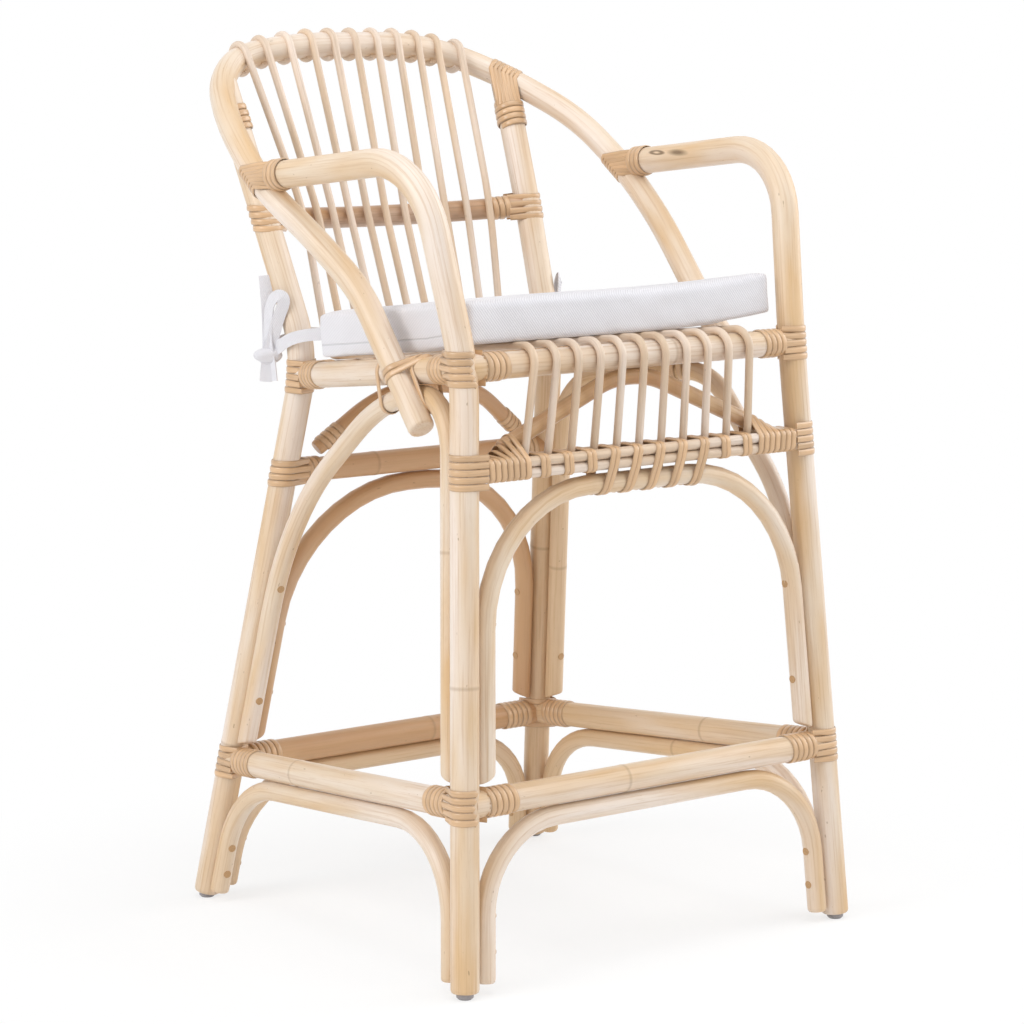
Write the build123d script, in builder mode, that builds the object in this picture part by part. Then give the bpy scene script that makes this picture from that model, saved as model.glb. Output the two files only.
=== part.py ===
from build123d import *
from math import asin, cos, pi, radians, sin, sqrt, tan
import os

# Rattan bar stool with bent arms, a hooped back, a ring of foot rails and a tied seat cushion.
# Millimetres. +X is the sitter's left-hand side seen from the front, -Y is the front, +Z is up.
# The floor is at z = 0 and the origin is under the middle of the stool's box.

# Pole and rod thicknesses
pole_d = 30.0
hoop_d = 28.0
seat_rail_d = 28.0
foot_rail_d = 29.0
apron_rail_d = 27.0
crossbar_d = 24.0
arch_d = 22.0
inner_arch_d = 18.0
slat_d = 8.5
rod_d = 11.0

# Play between pieces that bear on each other
gap = 0.3

# Stance: half widths and depths of the leg centres at the floor and at the seat
front_foot_x = 259.0
front_foot_y = -258.0
front_seat_x = 224.0
front_seat_y = -213.0
back_foot_x = 238.0
back_foot_y = 253.0
back_seat_x = 174.0
back_seat_y = 146.0

# Heights of the seat, the apron and the foot ring, and how far each falls towards the back
seat_z = 640.0
seat_fall = 41.0
apron_drop = 104.0
apron_fall = 45.0
foot_ring_z = 197.0
foot_ring_fall = 36.0
glide_h = 6.0
glide_d = 18.0

# Back posts: bend above the seat, bowed crossbar and where the post meets the hoop
post_bend_rise = 23.0
post_bend_r = 150.0
crossbar_rise = 130.0
crossbar_x = 185.0
crossbar_y = 199.0
crossbar_bow = 44.0
crossbar_sag = 7.0
post_top_x = 197.0
post_top_bend_r = 600.0

# Arms: corner of the bend above the seat, and where the arm meets the hoop
arm_rise = 212.0
arm_out = 23.0
arm_back = 44.0
arm_bend_r = 84.0
arm_foot_bend_r = 380.0
arm_joint_y = 112.0
cope_depth = 5.0

# Hoop: corners of its bent line for the right-hand half, as x, y and height above the seat
hoop_corners = [(70, 297, 317), (150, 304, 305), (204, 257, 275), (243, 180, 232), (255, 102, 172)]
hoop_corners += [(240, 26, 120), (225, -36, 68)]
hoop_shin_y = -81.0
hoop_shin_rise = 12.0
hoop_end_y = -158.0
hoop_end_rise = -66.0
hoop_short_end_y = -108.0
hoop_short_end_rise = -15.0
hoop_outset = 20.0

# Arches: bend radii, limb ends and the crown of the side arches
lower_arch_r = 95.0
front_arch_r = 145.0
back_arch_r = 165.0
lower_limb_clear = 7.0
upper_limb_clear = 24.0
side_arch_leave = 195.0
side_arch_crown_y = -45.0
side_arch_rear_r = 290.0
side_arch_crown_r = 250.0
side_arch_tight_r = 58.0
right_arch_leave = 183.0
right_arch_corner = 238.0
right_arch_crown_y = -99.0
right_arch_rear_r = 80.0
right_arch_front_r = 200.0
right_arch_crown_r = 65.0
inner_front_end_x = 165.0
inner_front_crown_x = 25.0
inner_back_end_x = 142.0
inner_back_crown_x = 60.0

# Slats: spacing where they cross the hoop, the seat's back, the front rail and the apron bundle
slat_count = 11
slat_step_hoop = 30.0
slat_step_crossbar = 27.5
slat_step_seat = 24.5
slat_step_rail = 29.2
slat_step_bundle = 30.8
slat_seat_bend_r = 18.0
slat_bow_r = 380.0
slat_wrap_deg = 285.0
slat_lean_room = 1.2
slat_hook_t = 5.0

# Cane windings
strand_d = 3.6
strand_step = 4.3
rail_turns = 4
sleeve_turns = 8
strip_turns = 2
crown_wraps = 5
strip_count = 5
post_turns = 6
arm_strips = 5
arm_strip_start = 25.0
strip_reach = 22.0

# Nail plugs on the arch limbs, and where they sit: shares of the foot ring's height on a lower limb,
# and on an upper limb a rise above its end and a share of its straight stretch
plug_d = 8.4
plug_depth = 2.5
plug_play = 0.1
low_nail_shares = (0.22, 0.41)
high_nail_rise = 52.0
high_nail_share = 0.93

# Cushion and its ties
cushion_t = 46.0
cushion_depth = 296.0
cushion_side_clear = 3.0
cushion_back_taper = 14.0
cushion_pull = 5.0
cushion_corner_r = 10.0
cushion_setback = 5.0
cushion_crown = 4.0
cover_t = 1.2
tape_w = 10.0
tape_t = 1.2
knot_d = 13.0

SIDES = {"left": -1, "right": 1}

pole_r = pole_d / 2
hoop_r = hoop_d / 2
seat_rail_r = seat_rail_d / 2
foot_rail_r = foot_rail_d / 2
apron_rail_r = apron_rail_d / 2
arch_r = arch_d / 2
inner_arch_rad = inner_arch_d / 2
slat_r = slat_d / 2
rod_r = rod_d / 2
strand_r = strand_d / 2
crossbar_z = seat_z + crossbar_rise
seat_back_z = seat_z - seat_fall
apron_z = seat_z - apron_drop
apron_back_z = apron_z - apron_fall
foot_back_z = foot_ring_z - foot_ring_fall

os.makedirs("parts", exist_ok=True)


def unit_across(v, axis):
    """Unit vector of the share of v that is square to an axis."""
    axis = axis.normalized()
    return (v - axis * v.dot(axis)).normalized()


def straight(start, end):
    """Centre line of a straight pole."""
    with BuildLine() as line:
        Line(start, end)
    return line.wire()


def bent(points, radii):
    """Centre line of a bent pole: straight runs joined by tangent arcs."""
    with BuildLine() as line:
        FilletPolyline(*points, radius=radii)
    return line.wire()


def smooth_radii(points, share=0.45):
    """Largest bend at each corner that leaves room for its neighbours."""
    radii = []
    for before, corner, after in zip(points, points[1:], points[2:]):
        turn = radians((corner - before).get_angle(after - corner))
        radii.append(share * min((corner - before).length, (after - corner).length) / tan(turn / 2))
    return radii


def point_where(path, axis, value, low=0.0, high=1.0):
    """Place along a path, as a share of it, where one coordinate has a value."""
    rising = getattr(path @ high, axis) > getattr(path @ low, axis)
    for _ in range(50):
        middle = (low + high) / 2
        if (getattr(path @ middle, axis) < value) == rising:
            low = middle
        else:
            high = middle
    return low


def tube(path, diameter):
    """Round solid along a path."""
    with BuildPart() as body:
        with BuildSketch(Plane(origin=path @ 0, z_dir=path % 0)):
            Circle(diameter / 2)
        sweep(path=path)
    return body.part


def keep(part, label):
    """Label a finished piece and write it."""
    part.label = label
    export_step(part, f"parts/{label}.step")
    return part


def keep_group(solids, label):
    """Write like pieces as one group of separate solids."""
    return keep(Compound(children=[s for solid in solids for s in solid.solids()]), label)


def coped(label, path, diameter, cutters=(), foot_z=None):
    """Pole along a path, cut to fit round the poles that it meets and flat at a height."""
    body = tube(path, diameter)
    with BuildPart() as piece:
        add(body)
        for cutter in cutters:
            add(cutter, mode=Mode.SUBTRACT)
        if foot_z is not None:
            split(bisect_by=Plane.XY.offset(foot_z), keep=Keep.TOP)
    return keep(piece.part, label)


# Centre lines of the hoop, the legs and the rails
def side_rail_x(y):
    """Half width of the seat between the legs' centres at a depth."""
    share = (y - front_seat_y) / (back_seat_y - front_seat_y)
    return front_seat_x + (back_seat_x - front_seat_x) * share


def hoop_half(end_y, end_rise):
    """Corners of one half of the hoop, from its top to its end beside the seat rail."""
    lower = [(hoop_shin_y, hoop_shin_rise), (end_y, end_rise)]
    return hoop_corners + [(side_rail_x(y) + hoop_outset, y, rise) for y, rise in lower]


# The left end of the hoop reaches below its seat rail, the right one is cut off beside it
long_half = hoop_half(hoop_end_y, hoop_end_rise)
short_half = hoop_half(hoop_short_end_y, hoop_short_end_rise)
hoop_points = [Vector(-x, y, seat_z + rise) for x, y, rise in reversed(long_half)]
hoop_points += [Vector(x, y, seat_z + rise) for x, y, rise in short_half]

# The stool's box runs from the front of the feet to the slat hooks behind the hoop
hoop_back_y = bent(hoop_points, smooth_radii(hoop_points)).bounding_box().max.Y
middle_y = (front_foot_y - pole_r + hoop_back_y + hoop_r + slat_hook_t + gap) / 2


def at(x, y, z):
    """Point of the stool, moved so that the origin is under the middle of its box."""
    return Vector(x, y - middle_y, z)


hoop_points = [at(p.X, p.Y, p.Z) for p in hoop_points]
hoop_path = bent(hoop_points, smooth_radii(hoop_points))
hoop_bore = tube(hoop_path, hoop_d + 2 * gap)


def hoop_place(x):
    """Centre and direction of the hoop at a width, on its upper part."""
    place = point_where(hoop_path, "X", x, 0.3, 0.7)
    return hoop_path @ place, hoop_path % place


def mirrored(point):
    """The same point on the other side of the stool."""
    return Vector(-point.X, point.Y, point.Z)


arm_joint = hoop_path @ point_where(hoop_path, "Y", arm_joint_y - middle_y, 0.62, 1.0)
floor_run = -10.0 / seat_z

front_leg_line = {}
back_leg_line = {}
for side, sign in SIDES.items():
    foot = at(sign * front_foot_x, front_foot_y, 0)
    seat = at(sign * front_seat_x, front_seat_y, seat_z)
    corner = at(sign * (front_seat_x + arm_out), front_seat_y + arm_back, seat_z + arm_rise)
    joint = arm_joint if sign > 0 else mirrored(arm_joint)
    arm_end = joint + (corner - joint).normalized() * cope_depth
    front_leg_line[side] = bent(
        [foot + (seat - foot) * floor_run, seat, corner, arm_end], [arm_foot_bend_r, arm_bend_r]
    )
    foot = at(sign * back_foot_x, back_foot_y, 0)
    seat = at(sign * back_seat_x, back_seat_y, seat_back_z)
    bend = foot + (seat - foot) * (1 + post_bend_rise / seat_back_z)
    post = at(sign * crossbar_x, crossbar_y, crossbar_z)
    top = hoop_place(sign * post_top_x)[0]
    post_end = top + (post - top).normalized() * cope_depth
    back_leg_line[side] = bent(
        [foot + (seat - foot) * floor_run, bend, post, post_end], [post_bend_r, post_top_bend_r]
    )


def front_leg_at(side, z):
    """Centre of a front leg at a height below its arm."""
    return front_leg_line[side] @ point_where(front_leg_line[side], "Z", z, 0.0, 0.68)


def back_leg_at(side, z):
    """Centre of a back leg or post at a height."""
    return back_leg_line[side] @ point_where(back_leg_line[side], "Z", z)


LEG_AT = {"front": front_leg_at, "back": back_leg_at}
front_leg_bore = {side: tube(line, pole_d + 2 * gap) for side, line in front_leg_line.items()}
back_leg_bore = {side: tube(line, pole_d + 2 * gap) for side, line in back_leg_line.items()}
leg_bores = {"front": front_leg_bore, "back": back_leg_bore}

# Legs: the front pair runs on as the arms, the back pair as the posts of the back
for name, line in (("front_leg", front_leg_line["left"]), ("back_leg", back_leg_line["left"])):
    left_leg = coped(f"{name}_left", line, pole_d, [hoop_bore], glide_h)
    with BuildPart() as right_leg:
        add(mirror(left_leg, about=Plane.YZ))
    keep(right_leg.part, f"{name}_right")


def ring_lines(front_z, back_z):
    """Centre lines of four rails between the legs."""
    heights = {"front": front_z, "back": back_z}
    corners = {(end, side): LEG_AT[end](side, z) for end, z in heights.items() for side in SIDES}
    lines = {end: (corners[end, "left"], corners[end, "right"]) for end in LEG_AT}
    lines.update({side: (corners["front", side], corners["back", side]) for side in SIDES})
    return lines


def rail_ring(name, lines, diameter):
    """Four rails: front and back between the legs, and the sides coped round them as well."""
    cross_bores = [tube(straight(*lines[end]), diameter + 2 * gap) for end in LEG_AT]
    for end in LEG_AT:
        coped(f"{name}_{end}", straight(*lines[end]), diameter, leg_bores[end].values())
    for side in SIDES:
        bores = [front_leg_bore[side], back_leg_bore[side]] + cross_bores
        coped(f"{name}_{side}", straight(*lines[side]), diameter, bores)


seat_lines = ring_lines(seat_z, seat_back_z)
foot_lines = ring_lines(foot_ring_z, foot_back_z)
rail_ring("seat_rail", seat_lines, seat_rail_d)
rail_ring("foot_rail", foot_lines, foot_rail_d)

# Rail between the back legs under the seat, and the crossbar between the posts
apron_back_line = (back_leg_at("left", apron_back_z), back_leg_at("right", apron_back_z))
coped("apron_rail_back", straight(*apron_back_line), apron_rail_d, back_leg_bore.values())
bar_left = back_leg_at("left", crossbar_z) + Vector(crossbar_d / 8, 0, 0)
with BuildLine() as crossbar_line:
    bar_middle = Vector(0, bar_left.Y + crossbar_bow, crossbar_z - crossbar_sag)
    ThreePointArc(bar_left, bar_middle, mirrored(bar_left))
crossbar_path = crossbar_line.wire()
coped("back_crossbar", crossbar_path, crossbar_d, back_leg_bore.values())

# Apron bundle at the front: two rods before the slat ends and two behind them
apron_left = front_leg_at("left", apron_z)
apron_right = front_leg_at("right", apron_z)
rod_y = slat_r + rod_r + gap + slat_lean_room
rod_z = rod_r + gap / 2
apron_rods = []
for y in (-rod_y, rod_y):
    for z in (-rod_z, rod_z):
        rod_end = Vector(pole_r * 0.8, y, z)
        far_end = Vector(-rod_end.X, rod_end.Y, rod_end.Z)
        body = tube(straight(apron_left + rod_end, apron_right + far_end), rod_d)
        with BuildPart() as rod:
            add(body)
            for bore in front_leg_bore.values():
                add(bore, mode=Mode.SUBTRACT)
        apron_rods.append(rod.part.solids().sort_by(SortBy.VOLUME)[-1])
keep_group(apron_rods, "apron_rods_front")

# Arches: limbs lie along the legs and the crown bears on a rail
limb_offset = pole_r + arch_r + gap
plugs = []


def leg_ends(end, side):
    """Straight part of a leg, from the floor to the seat."""
    if end == "front":
        foot = at(SIDES[side] * front_foot_x, front_foot_y, 0)
        return foot, at(SIDES[side] * front_seat_x, front_seat_y, seat_z)
    foot = at(SIDES[side] * back_foot_x, back_foot_y, 0)
    return foot, at(SIDES[side] * back_seat_x, back_seat_y, seat_back_z)


def limb_point(leg, towards, z):
    """Centre of an arch limb that lies along a leg, on the side of another leg."""
    foot, seat = leg_ends(*leg)
    other_foot, other_seat = leg_ends(*towards)
    across = unit_across(other_foot + other_seat - foot - seat, seat - foot)
    inner_foot = foot + across * limb_offset
    return inner_foot + (seat - foot) * ((z - inner_foot.Z) / (seat.Z - foot.Z)), across


def arch(label, legs, ends, corners, radii, nail_heights, foot_z=None, extra=()):
    """Bent pole between two legs with plugs over the nails in its limbs."""
    (leg_a, leg_b) = legs
    points = [limb_point(leg_a, leg_b, ends[0])[0]] + corners + [limb_point(leg_b, leg_a, ends[1])[0]]
    path = bent(points, radii)
    body = tube(path, arch_d)
    seats = []
    limbs = ((leg_a, leg_b, 0.0, 0.4), (leg_b, leg_a, 1.0, 0.6))
    for (leg, towards, low, high), heights in zip(limbs, nail_heights):
        for height in heights:
            place = point_where(path, "Z", height, low, high)
            across = unit_across(limb_point(leg, towards, height)[1], path % place)
            seats.append(Plane(origin=(path @ place) + across * (arch_r - plug_depth), z_dir=across))
    with BuildPart() as piece:
        add(body)
        for cutter in extra:
            add(cutter, mode=Mode.SUBTRACT)
        for seat in seats:
            with BuildSketch(seat):
                Circle(plug_d / 2 + plug_play)
            extrude(amount=arch_d, mode=Mode.SUBTRACT)
        if foot_z is not None:
            split(bisect_by=Plane.XY.offset(foot_z), keep=Keep.TOP)
    for seat in seats:
        with BuildPart() as plug:
            with BuildSketch(seat):
                Circle(plug_d / 2)
            extrude(amount=plug_depth)
        plugs.append(plug.part)
    keep(piece.part, label)
    return path


def crown_corner(leg, towards, rail_z, drop):
    """Corner of an arch whose crown runs under a rail that may slope from one leg to the other."""
    here = limb_point(leg, towards, rail_z[leg[0]])[0]
    there = limb_point(towards, leg, rail_z[towards[0]])[0]
    span = sqrt((here.X - there.X) ** 2 + (here.Y - there.Y) ** 2) + 2 * limb_offset
    slope = (rail_z[towards[0]] - rail_z[leg[0]]) / span
    return limb_point(leg, towards, rail_z[leg[0]] + slope * limb_offset - drop * sqrt(1 + slope**2))[0]


def leg_pair(place):
    """The two legs that an arch stands between."""
    if place in LEG_AT:
        return (place, "left"), (place, "right")
    return ("back", place), ("front", place)


foot_z_of = {"front": foot_ring_z, "back": foot_back_z}
arch_lines = {}
for place in ("front", "back", "left", "right"):
    leg_a, leg_b = leg_pair(place)
    foot_drop = foot_rail_r + arch_r + gap
    pairs = ((leg_a, leg_b), (leg_b, leg_a))
    crown = [crown_corner(near, far, foot_z_of, foot_drop) for near, far in pairs]
    low_nails = [[foot_z_of[leg[0]] * share for share in low_nail_shares] for leg in (leg_a, leg_b)]
    arch(f"lower_arch_{place}", (leg_a, leg_b), (0, 0), crown, lower_arch_r, low_nails, lower_limb_clear)


def nail_pair(leg, top_z):
    """Two nail heights on an upper limb, near its end and below its bend."""
    low = foot_z_of[leg[0]] + upper_limb_clear
    return low + high_nail_rise, low + high_nail_share * (top_z - low)


# Upper arches at the front and the back, with their crowns under the apron
apron_z_of = {"front": apron_z, "back": apron_back_z}
bundle_drop = rod_d + strand_d + arch_r + 3 * gap
for place, drop, radius in (
    ("front", bundle_drop, front_arch_r),
    ("back", apron_rail_r + arch_r + gap, back_arch_r),
):
    leg_a, leg_b = leg_pair(place)
    crown = [crown_corner(leg_a, leg_b, apron_z_of, drop), crown_corner(leg_b, leg_a, apron_z_of, drop)]
    limb_end = foot_z_of[place] + upper_limb_clear
    nails = [nail_pair(leg, apron_z_of[place] - radius) for leg in (leg_a, leg_b)]
    limb_ends = (limb_end, limb_end)
    arch_lines[place] = arch(f"upper_arch_{place}", (leg_a, leg_b), limb_ends, crown, radius, nails)

# Upper arches at the sides: the left one sweeps up from the back leg to a crown under the seat rail and
# bends tightly at the front leg, and the right one is set the other way round
side_rail_slope = seat_fall / (back_seat_y - front_seat_y)
crown_drop = seat_rail_r + arch_r + gap


def under_side_rail(y):
    """Height of an arch's centre line where it bears on a side rail at a depth."""
    return seat_z - side_rail_slope * (y - front_seat_y) - crown_drop


limb_lows = (foot_back_z + upper_limb_clear, foot_ring_z + upper_limb_clear)
for side, sign in SIDES.items():
    leg_a, leg_b = leg_pair(side)
    if side == "left":
        crown_y = side_arch_crown_y
        rear_z = limb_lows[0] + side_arch_leave * 1.33
        front_z = under_side_rail(front_seat_y + limb_offset)
        radii = [side_arch_rear_r, side_arch_crown_r, side_arch_tight_r]
        nails = [nail_pair(leg_a, limb_lows[0] + side_arch_leave), nail_pair(leg_b, apron_z)]
    else:
        crown_y = right_arch_crown_y
        rear_z = under_side_rail(back_seat_y - limb_offset)
        front_z = limb_lows[1] + right_arch_corner
        radii = [right_arch_rear_r, right_arch_crown_r, right_arch_front_r]
        nails = [nail_pair(leg_a, apron_back_z), nail_pair(leg_b, limb_lows[1] + right_arch_leave)]
    corners = [
        limb_point(leg_a, leg_b, rear_z)[0],
        at(sign * side_rail_x(crown_y), crown_y, under_side_rail(crown_y)),
        limb_point(leg_b, leg_a, front_z)[0],
    ]
    arch_lines[side] = arch(f"upper_arch_{side}", (leg_a, leg_b), limb_lows, corners, radii, nails)
keep_group(plugs, "nail_plugs")

# Hoop, shaved where its ends lie against the side rails and the side arches
hoop_cutters = [tube(straight(*seat_lines[side]), seat_rail_d + 2 * gap) for side in SIDES]
hoop_cutters += [tube(arch_lines[side], arch_d + 2 * gap) for side in SIDES]
coped("back_hoop", hoop_path, hoop_d, hoop_cutters)

# Small arches between the apron and the seat, at the front behind the slats and at the back
inner_y = apron_left.Y + slat_r + inner_arch_rad + gap
rail_side = inner_y - seat_lines["front"][0].Y
inner_front_top = seat_z - sqrt((seat_rail_r + inner_arch_rad + gap) ** 2 - rail_side**2) - gap
rod_side = inner_y - apron_left.Y - rod_y
inner_front_foot = apron_z + rod_z + sqrt((rod_r + inner_arch_rad + gap) ** 2 - rod_side**2)
inner_back_top = seat_back_z - seat_rail_r - inner_arch_rad - gap
inner_back_foot = apron_back_z + apron_rail_r + inner_arch_rad + gap
inner_halves = {
    "front": [
        Vector(-inner_front_end_x, inner_y, inner_front_foot),
        Vector(-inner_front_crown_x, inner_y, inner_front_top),
    ],
    "back": [
        Vector(-inner_back_end_x, apron_back_line[0].Y, inner_back_foot),
        Vector(-inner_back_crown_x, seat_lines["back"][0].Y, inner_back_top),
    ],
}
inner_paths = {}
for end, left_half in inner_halves.items():
    inner_points = left_half + [mirrored(p) for p in reversed(left_half)]
    inner_paths[end] = bent(inner_points, smooth_radii(inner_points))
    coped(f"inner_arch_{end}", inner_paths[end], inner_arch_d)

# Slats: pared and hooked round the hoop, past the crossbar, over both seat rails, down into the bundle
rail_clear = seat_rail_r + slat_r + 1.5 * gap
seat_front = seat_lines["front"][0]
seat_back = seat_lines["back"][0]
seat_run = Vector(0, seat_back.Y - seat_front.Y, seat_back.Z - seat_front.Z).normalized()
seat_normal = Vector(1, 0, 0).cross(seat_run)


def slat_path(k):
    """Centre line of one slat, k steps from the middle."""
    centre, along = hoop_place(k * slat_step_hoop)
    seat_corner = Vector(k * slat_step_seat, seat_back.Y, seat_back.Z) + seat_normal * rail_clear
    seat_corner = seat_corner + seat_run * slat_seat_bend_r
    bar_place = point_where(crossbar_path, "X", k * slat_step_crossbar)
    bar_spot = crossbar_path @ bar_place
    bow_corner = bar_spot
    bow = 0.0
    for _ in range(6):
        away = (crossbar_path % bar_place).cross(centre - seat_corner).normalized()
        bow_corner = bar_spot + away * (crossbar_d / 2 + slat_r + 4 * gap + bow)
        up = (centre - bow_corner).normalized()
        front = unit_across(Vector(0, -1, 0), up)
        slant = abs(up.cross(front).dot(along))
        wrap_r = hoop_r / slant + slat_hook_t - slat_r + gap
        tip = wrap_r / (centre - bow_corner).length
        side_way = front * sqrt(1 - tip**2) - up * tip
        touch = centre + side_way * wrap_r
        rise = (touch - bow_corner).normalized()
        turn = radians((bow_corner - seat_corner).get_angle(rise))
        bow = slat_bow_r * (1 / cos(turn / 2) - 1)

    def hook(degrees):
        """Point of the hook, turned from where the slat first touches the hoop's front."""
        return centre + (side_way * cos(radians(degrees)) + rise * sin(radians(degrees))) * wrap_r

    bundle_end = Vector(k * slat_step_bundle, apron_left.Y, apron_z - rod_r)
    lean_y = seat_front.Y - bundle_end.Y
    lean_z = seat_front.Z - bundle_end.Z
    swing = asin(rail_clear / sqrt(lean_y**2 + lean_z**2))
    down_y = lean_y * cos(swing) - lean_z * sin(swing)
    down_z = lean_y * sin(swing) + lean_z * cos(swing)
    over = seat_front + seat_normal * rail_clear
    cross = down_y * seat_run.Z - down_z * seat_run.Y
    share = ((over.Y - bundle_end.Y) * seat_run.Z - (over.Z - bundle_end.Z) * seat_run.Y) / cross
    rail_corner = Vector(k * slat_step_rail, bundle_end.Y + down_y * share, bundle_end.Z + down_z * share)
    with BuildLine() as line:
        ThreePointArc(hook(slat_wrap_deg), hook(slat_wrap_deg * 0.75), hook(slat_wrap_deg * 0.5))
        ThreePointArc(hook(slat_wrap_deg * 0.5), hook(slat_wrap_deg * 0.25), touch)
        FilletPolyline(
            touch, bow_corner, seat_corner, rail_corner, bundle_end,
            radius=[slat_bow_r, slat_seat_bend_r, rail_clear],
        )
    return line.wire()


half_count = slat_count // 2
slat_paths = [slat_path(i - half_count) for i in range(slat_count)]
for number, path in enumerate(slat_paths, 1):
    coped(f"slat_{number:02d}", path, slat_d, [hoop_bore])


# Cane windings: each is one unbroken strand
def self_gap(path, turns):
    """Least air between the turns of a strand, measured on points."""
    count = 48 * turns
    points = [path @ (i / count) for i in range(count + 1)]
    apart = count // turns // 2
    least = min((a - b).length for i, a in enumerate(points) for b in points[i + apart:])
    return least - strand_d


def coil(start, axis, radius, turns, phase):
    """Round winding of half-turn biarcs with straight ends."""
    axis = axis.normalized()
    out = unit_across(phase, axis)
    way = axis.cross(out)
    with BuildLine() as line:
        for half in range(2 * turns):
            flip = 1 - 2 * (half % 2)
            p0 = start + axis * (half * strand_step / 2) + out * (radius * flip)
            p1 = start + axis * ((half + 1) * strand_step / 2) - out * (radius * flip)
            t0 = (way * (2 * pi * radius * flip) + axis * strand_step).normalized()
            t1 = (way * (-2 * pi * radius * flip) + axis * strand_step).normalized()
            if half == 0:
                Line(p0 - t0 * strand_d, p0)
            both = t0 + t1
            chord = p1 - p0
            bend = 2 * (1 - t0.dot(t1))
            reach = (sqrt(chord.dot(both) ** 2 + bend * chord.dot(chord)) - chord.dot(both)) / bend
            join = (p0 + t0 * reach + p1 - t1 * reach) * 0.5
            TangentArc(p0, join, tangent=t0)
            TangentArc(join, p1, tangent=(p1 - t1 * reach - join).normalized())
        Line(p1, p1 + t1 * strand_d)
    return line.wire()


def loops(start, axis, across, up, half_width, top, bottom, turns):
    """Winding round a bundle: straight sides with rounded corners, starting and ending underneath."""
    corners = [(-half_width, bottom), (-half_width, top), (half_width, top), (half_width, bottom)]
    points = [start + up * bottom]
    for i in range(4 * turns):
        x, z = corners[i % 4]
        points.append(start + axis * ((i + 0.5) * strand_step / 4) + across * x + up * z)
    points.append(start + axis * (turns * strand_step) + up * bottom)
    return bent(points, rod_r + gap + strand_r)


windings = {}


def wind(group, path, turns):
    """Add one strand to a group and note its least gap."""
    windings.setdefault(group, []).append((tube(path, strand_d), self_gap(path, turns)))


def strips(group, leg, middle_z, ways, limb_ahead=False):
    """Short strips round the outside of a leg, from one rail to the other or back to the same rail. Where the
    limb of an arch lies ahead of the leg, they end beside it."""
    first = ways[0].normalized()
    side_way = unit_across(ways[1], first) if len(ways) > 1 else Vector(0, 0, 1).cross(first)
    leg_top = 0.68 if (leg @ 0).Y < 0 else 1.0
    for i in range(strip_count):
        place = point_where(leg, "Z", middle_z + (i - (strip_count - 1) / 2) * strand_step, 0.0, leg_top)
        lean = leg % place
        reach = pole_r / lean.Z + strand_r + gap
        outline = [first * strip_reach - side_way * reach]
        if len(ways) > 1:
            second = ways[1].normalized()
            spread = second.dot(side_way)
            outline += [(first + second) * (-reach / spread)]
            outline += [second * strip_reach - unit_across(first, second) * reach]
        elif limb_ahead:
            outline += [(first + side_way) * -reach, first * -reach + side_way * (pole_r / 2)]
        else:
            outline += [(first + side_way) * -reach, (side_way - first) * reach]
            outline += [first * strip_reach + side_way * reach]
        path = bent([(leg @ place) + p for p in outline], reach * 0.95)
        windings.setdefault(group, []).append((tube(path, strand_d), strand_step - strand_d))


coil_start = strip_reach + strand_d + 5 * gap
for ring, lines, diameter in (("seat", seat_lines, seat_rail_d), ("foot", foot_lines, foot_rail_d)):
    for a, b in lines.values():
        for near, far in ((a, b), (b, a)):
            axis = (far - near).normalized()
            radius = diameter / 2 + strand_r + gap
            path = coil(near + axis * coil_start, axis, radius, rail_turns, Vector(0, 0, -1))
            wind(f"{ring}_bindings", path, rail_turns)
    for end in LEG_AT:
        for side in SIDES:
            here = lines[side][0] if end == "front" else lines[side][1]
            other = lines[side][1] if end == "front" else lines[side][0]
            inward = lines[end][1] - lines[end][0] if side == "left" else lines[end][0] - lines[end][1]
            level = Vector(inward.X, inward.Y, 0)
            along = Vector((other - here).X, (other - here).Y, 0)
            leg = front_leg_line[side] if end == "front" else back_leg_line[side]
            strips(f"{ring}_bindings", leg, here.Z, [level, along])

# Apron: strips round the legs, sleeves on the bundle and coils on the back rail
for near, far in (apron_back_line, apron_back_line[::-1]):
    axis = (far - near).normalized()
    radius = apron_rail_r + strand_r + gap
    path = coil(near + axis * coil_start, axis, radius, rail_turns, Vector(0, 0, -1))
    wind("apron_bindings", path, rail_turns)
    side = "left" if axis.X > 0 else "right"
    strips("apron_bindings", back_leg_line[side], apron_back_z, [axis], limb_ahead=side == "right")
bundle_wide = rod_y + rod_r + gap + strand_r
bundle_tall = rod_z + rod_r + gap + strand_r
across_y = Vector(0, 1, 0)
up_z = Vector(0, 0, 1)
for near, far in ((apron_left, apron_right), (apron_right, apron_left)):
    axis = (far - near).normalized()
    start = near + axis * coil_start
    path = loops(start, axis, across_y, up_z, bundle_wide, bundle_tall, -bundle_tall, sleeve_turns)
    wind("bundle_sleeves", path, sleeve_turns)
    leg = front_leg_line["left" if axis.X > 0 else "right"]
    for i in range(strip_count):
        level = apron_z + (i - (strip_count - 1) / 2) * strand_step
        place = point_where(leg, "Z", level, 0.0, 0.68)
        reach = pole_r / (leg % place).Z + strand_r + gap
        before = across_y * -bundle_wide
        outer = Vector(-axis.X * reach, 0, 0)
        outline = [axis * strip_reach + before, outer + before, outer + across_y * pole_r / 2]
        path = bent([(leg @ place) + p for p in outline], reach * 0.95)
        windings.setdefault("apron_bindings", []).append((tube(path, strand_d), strand_step - strand_d))
for step in range(slat_count - 1):
    middle = (step - half_count + 0.5) * slat_step_bundle
    start = Vector(middle - strip_turns * strand_step / 2, apron_left.Y, apron_z)
    holds_arch = abs(step - half_count) <= crown_wraps // 2
    below = -bundle_drop - arch_r - 3 * gap - strand_r if holds_arch else -bundle_tall
    group = "arch_crown_wraps" if holds_arch else "bundle_strips"
    path = loops(start, Vector(1, 0, 0), across_y, up_z, bundle_wide, bundle_tall, below, strip_turns)
    wind(group, path, strip_turns)

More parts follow.
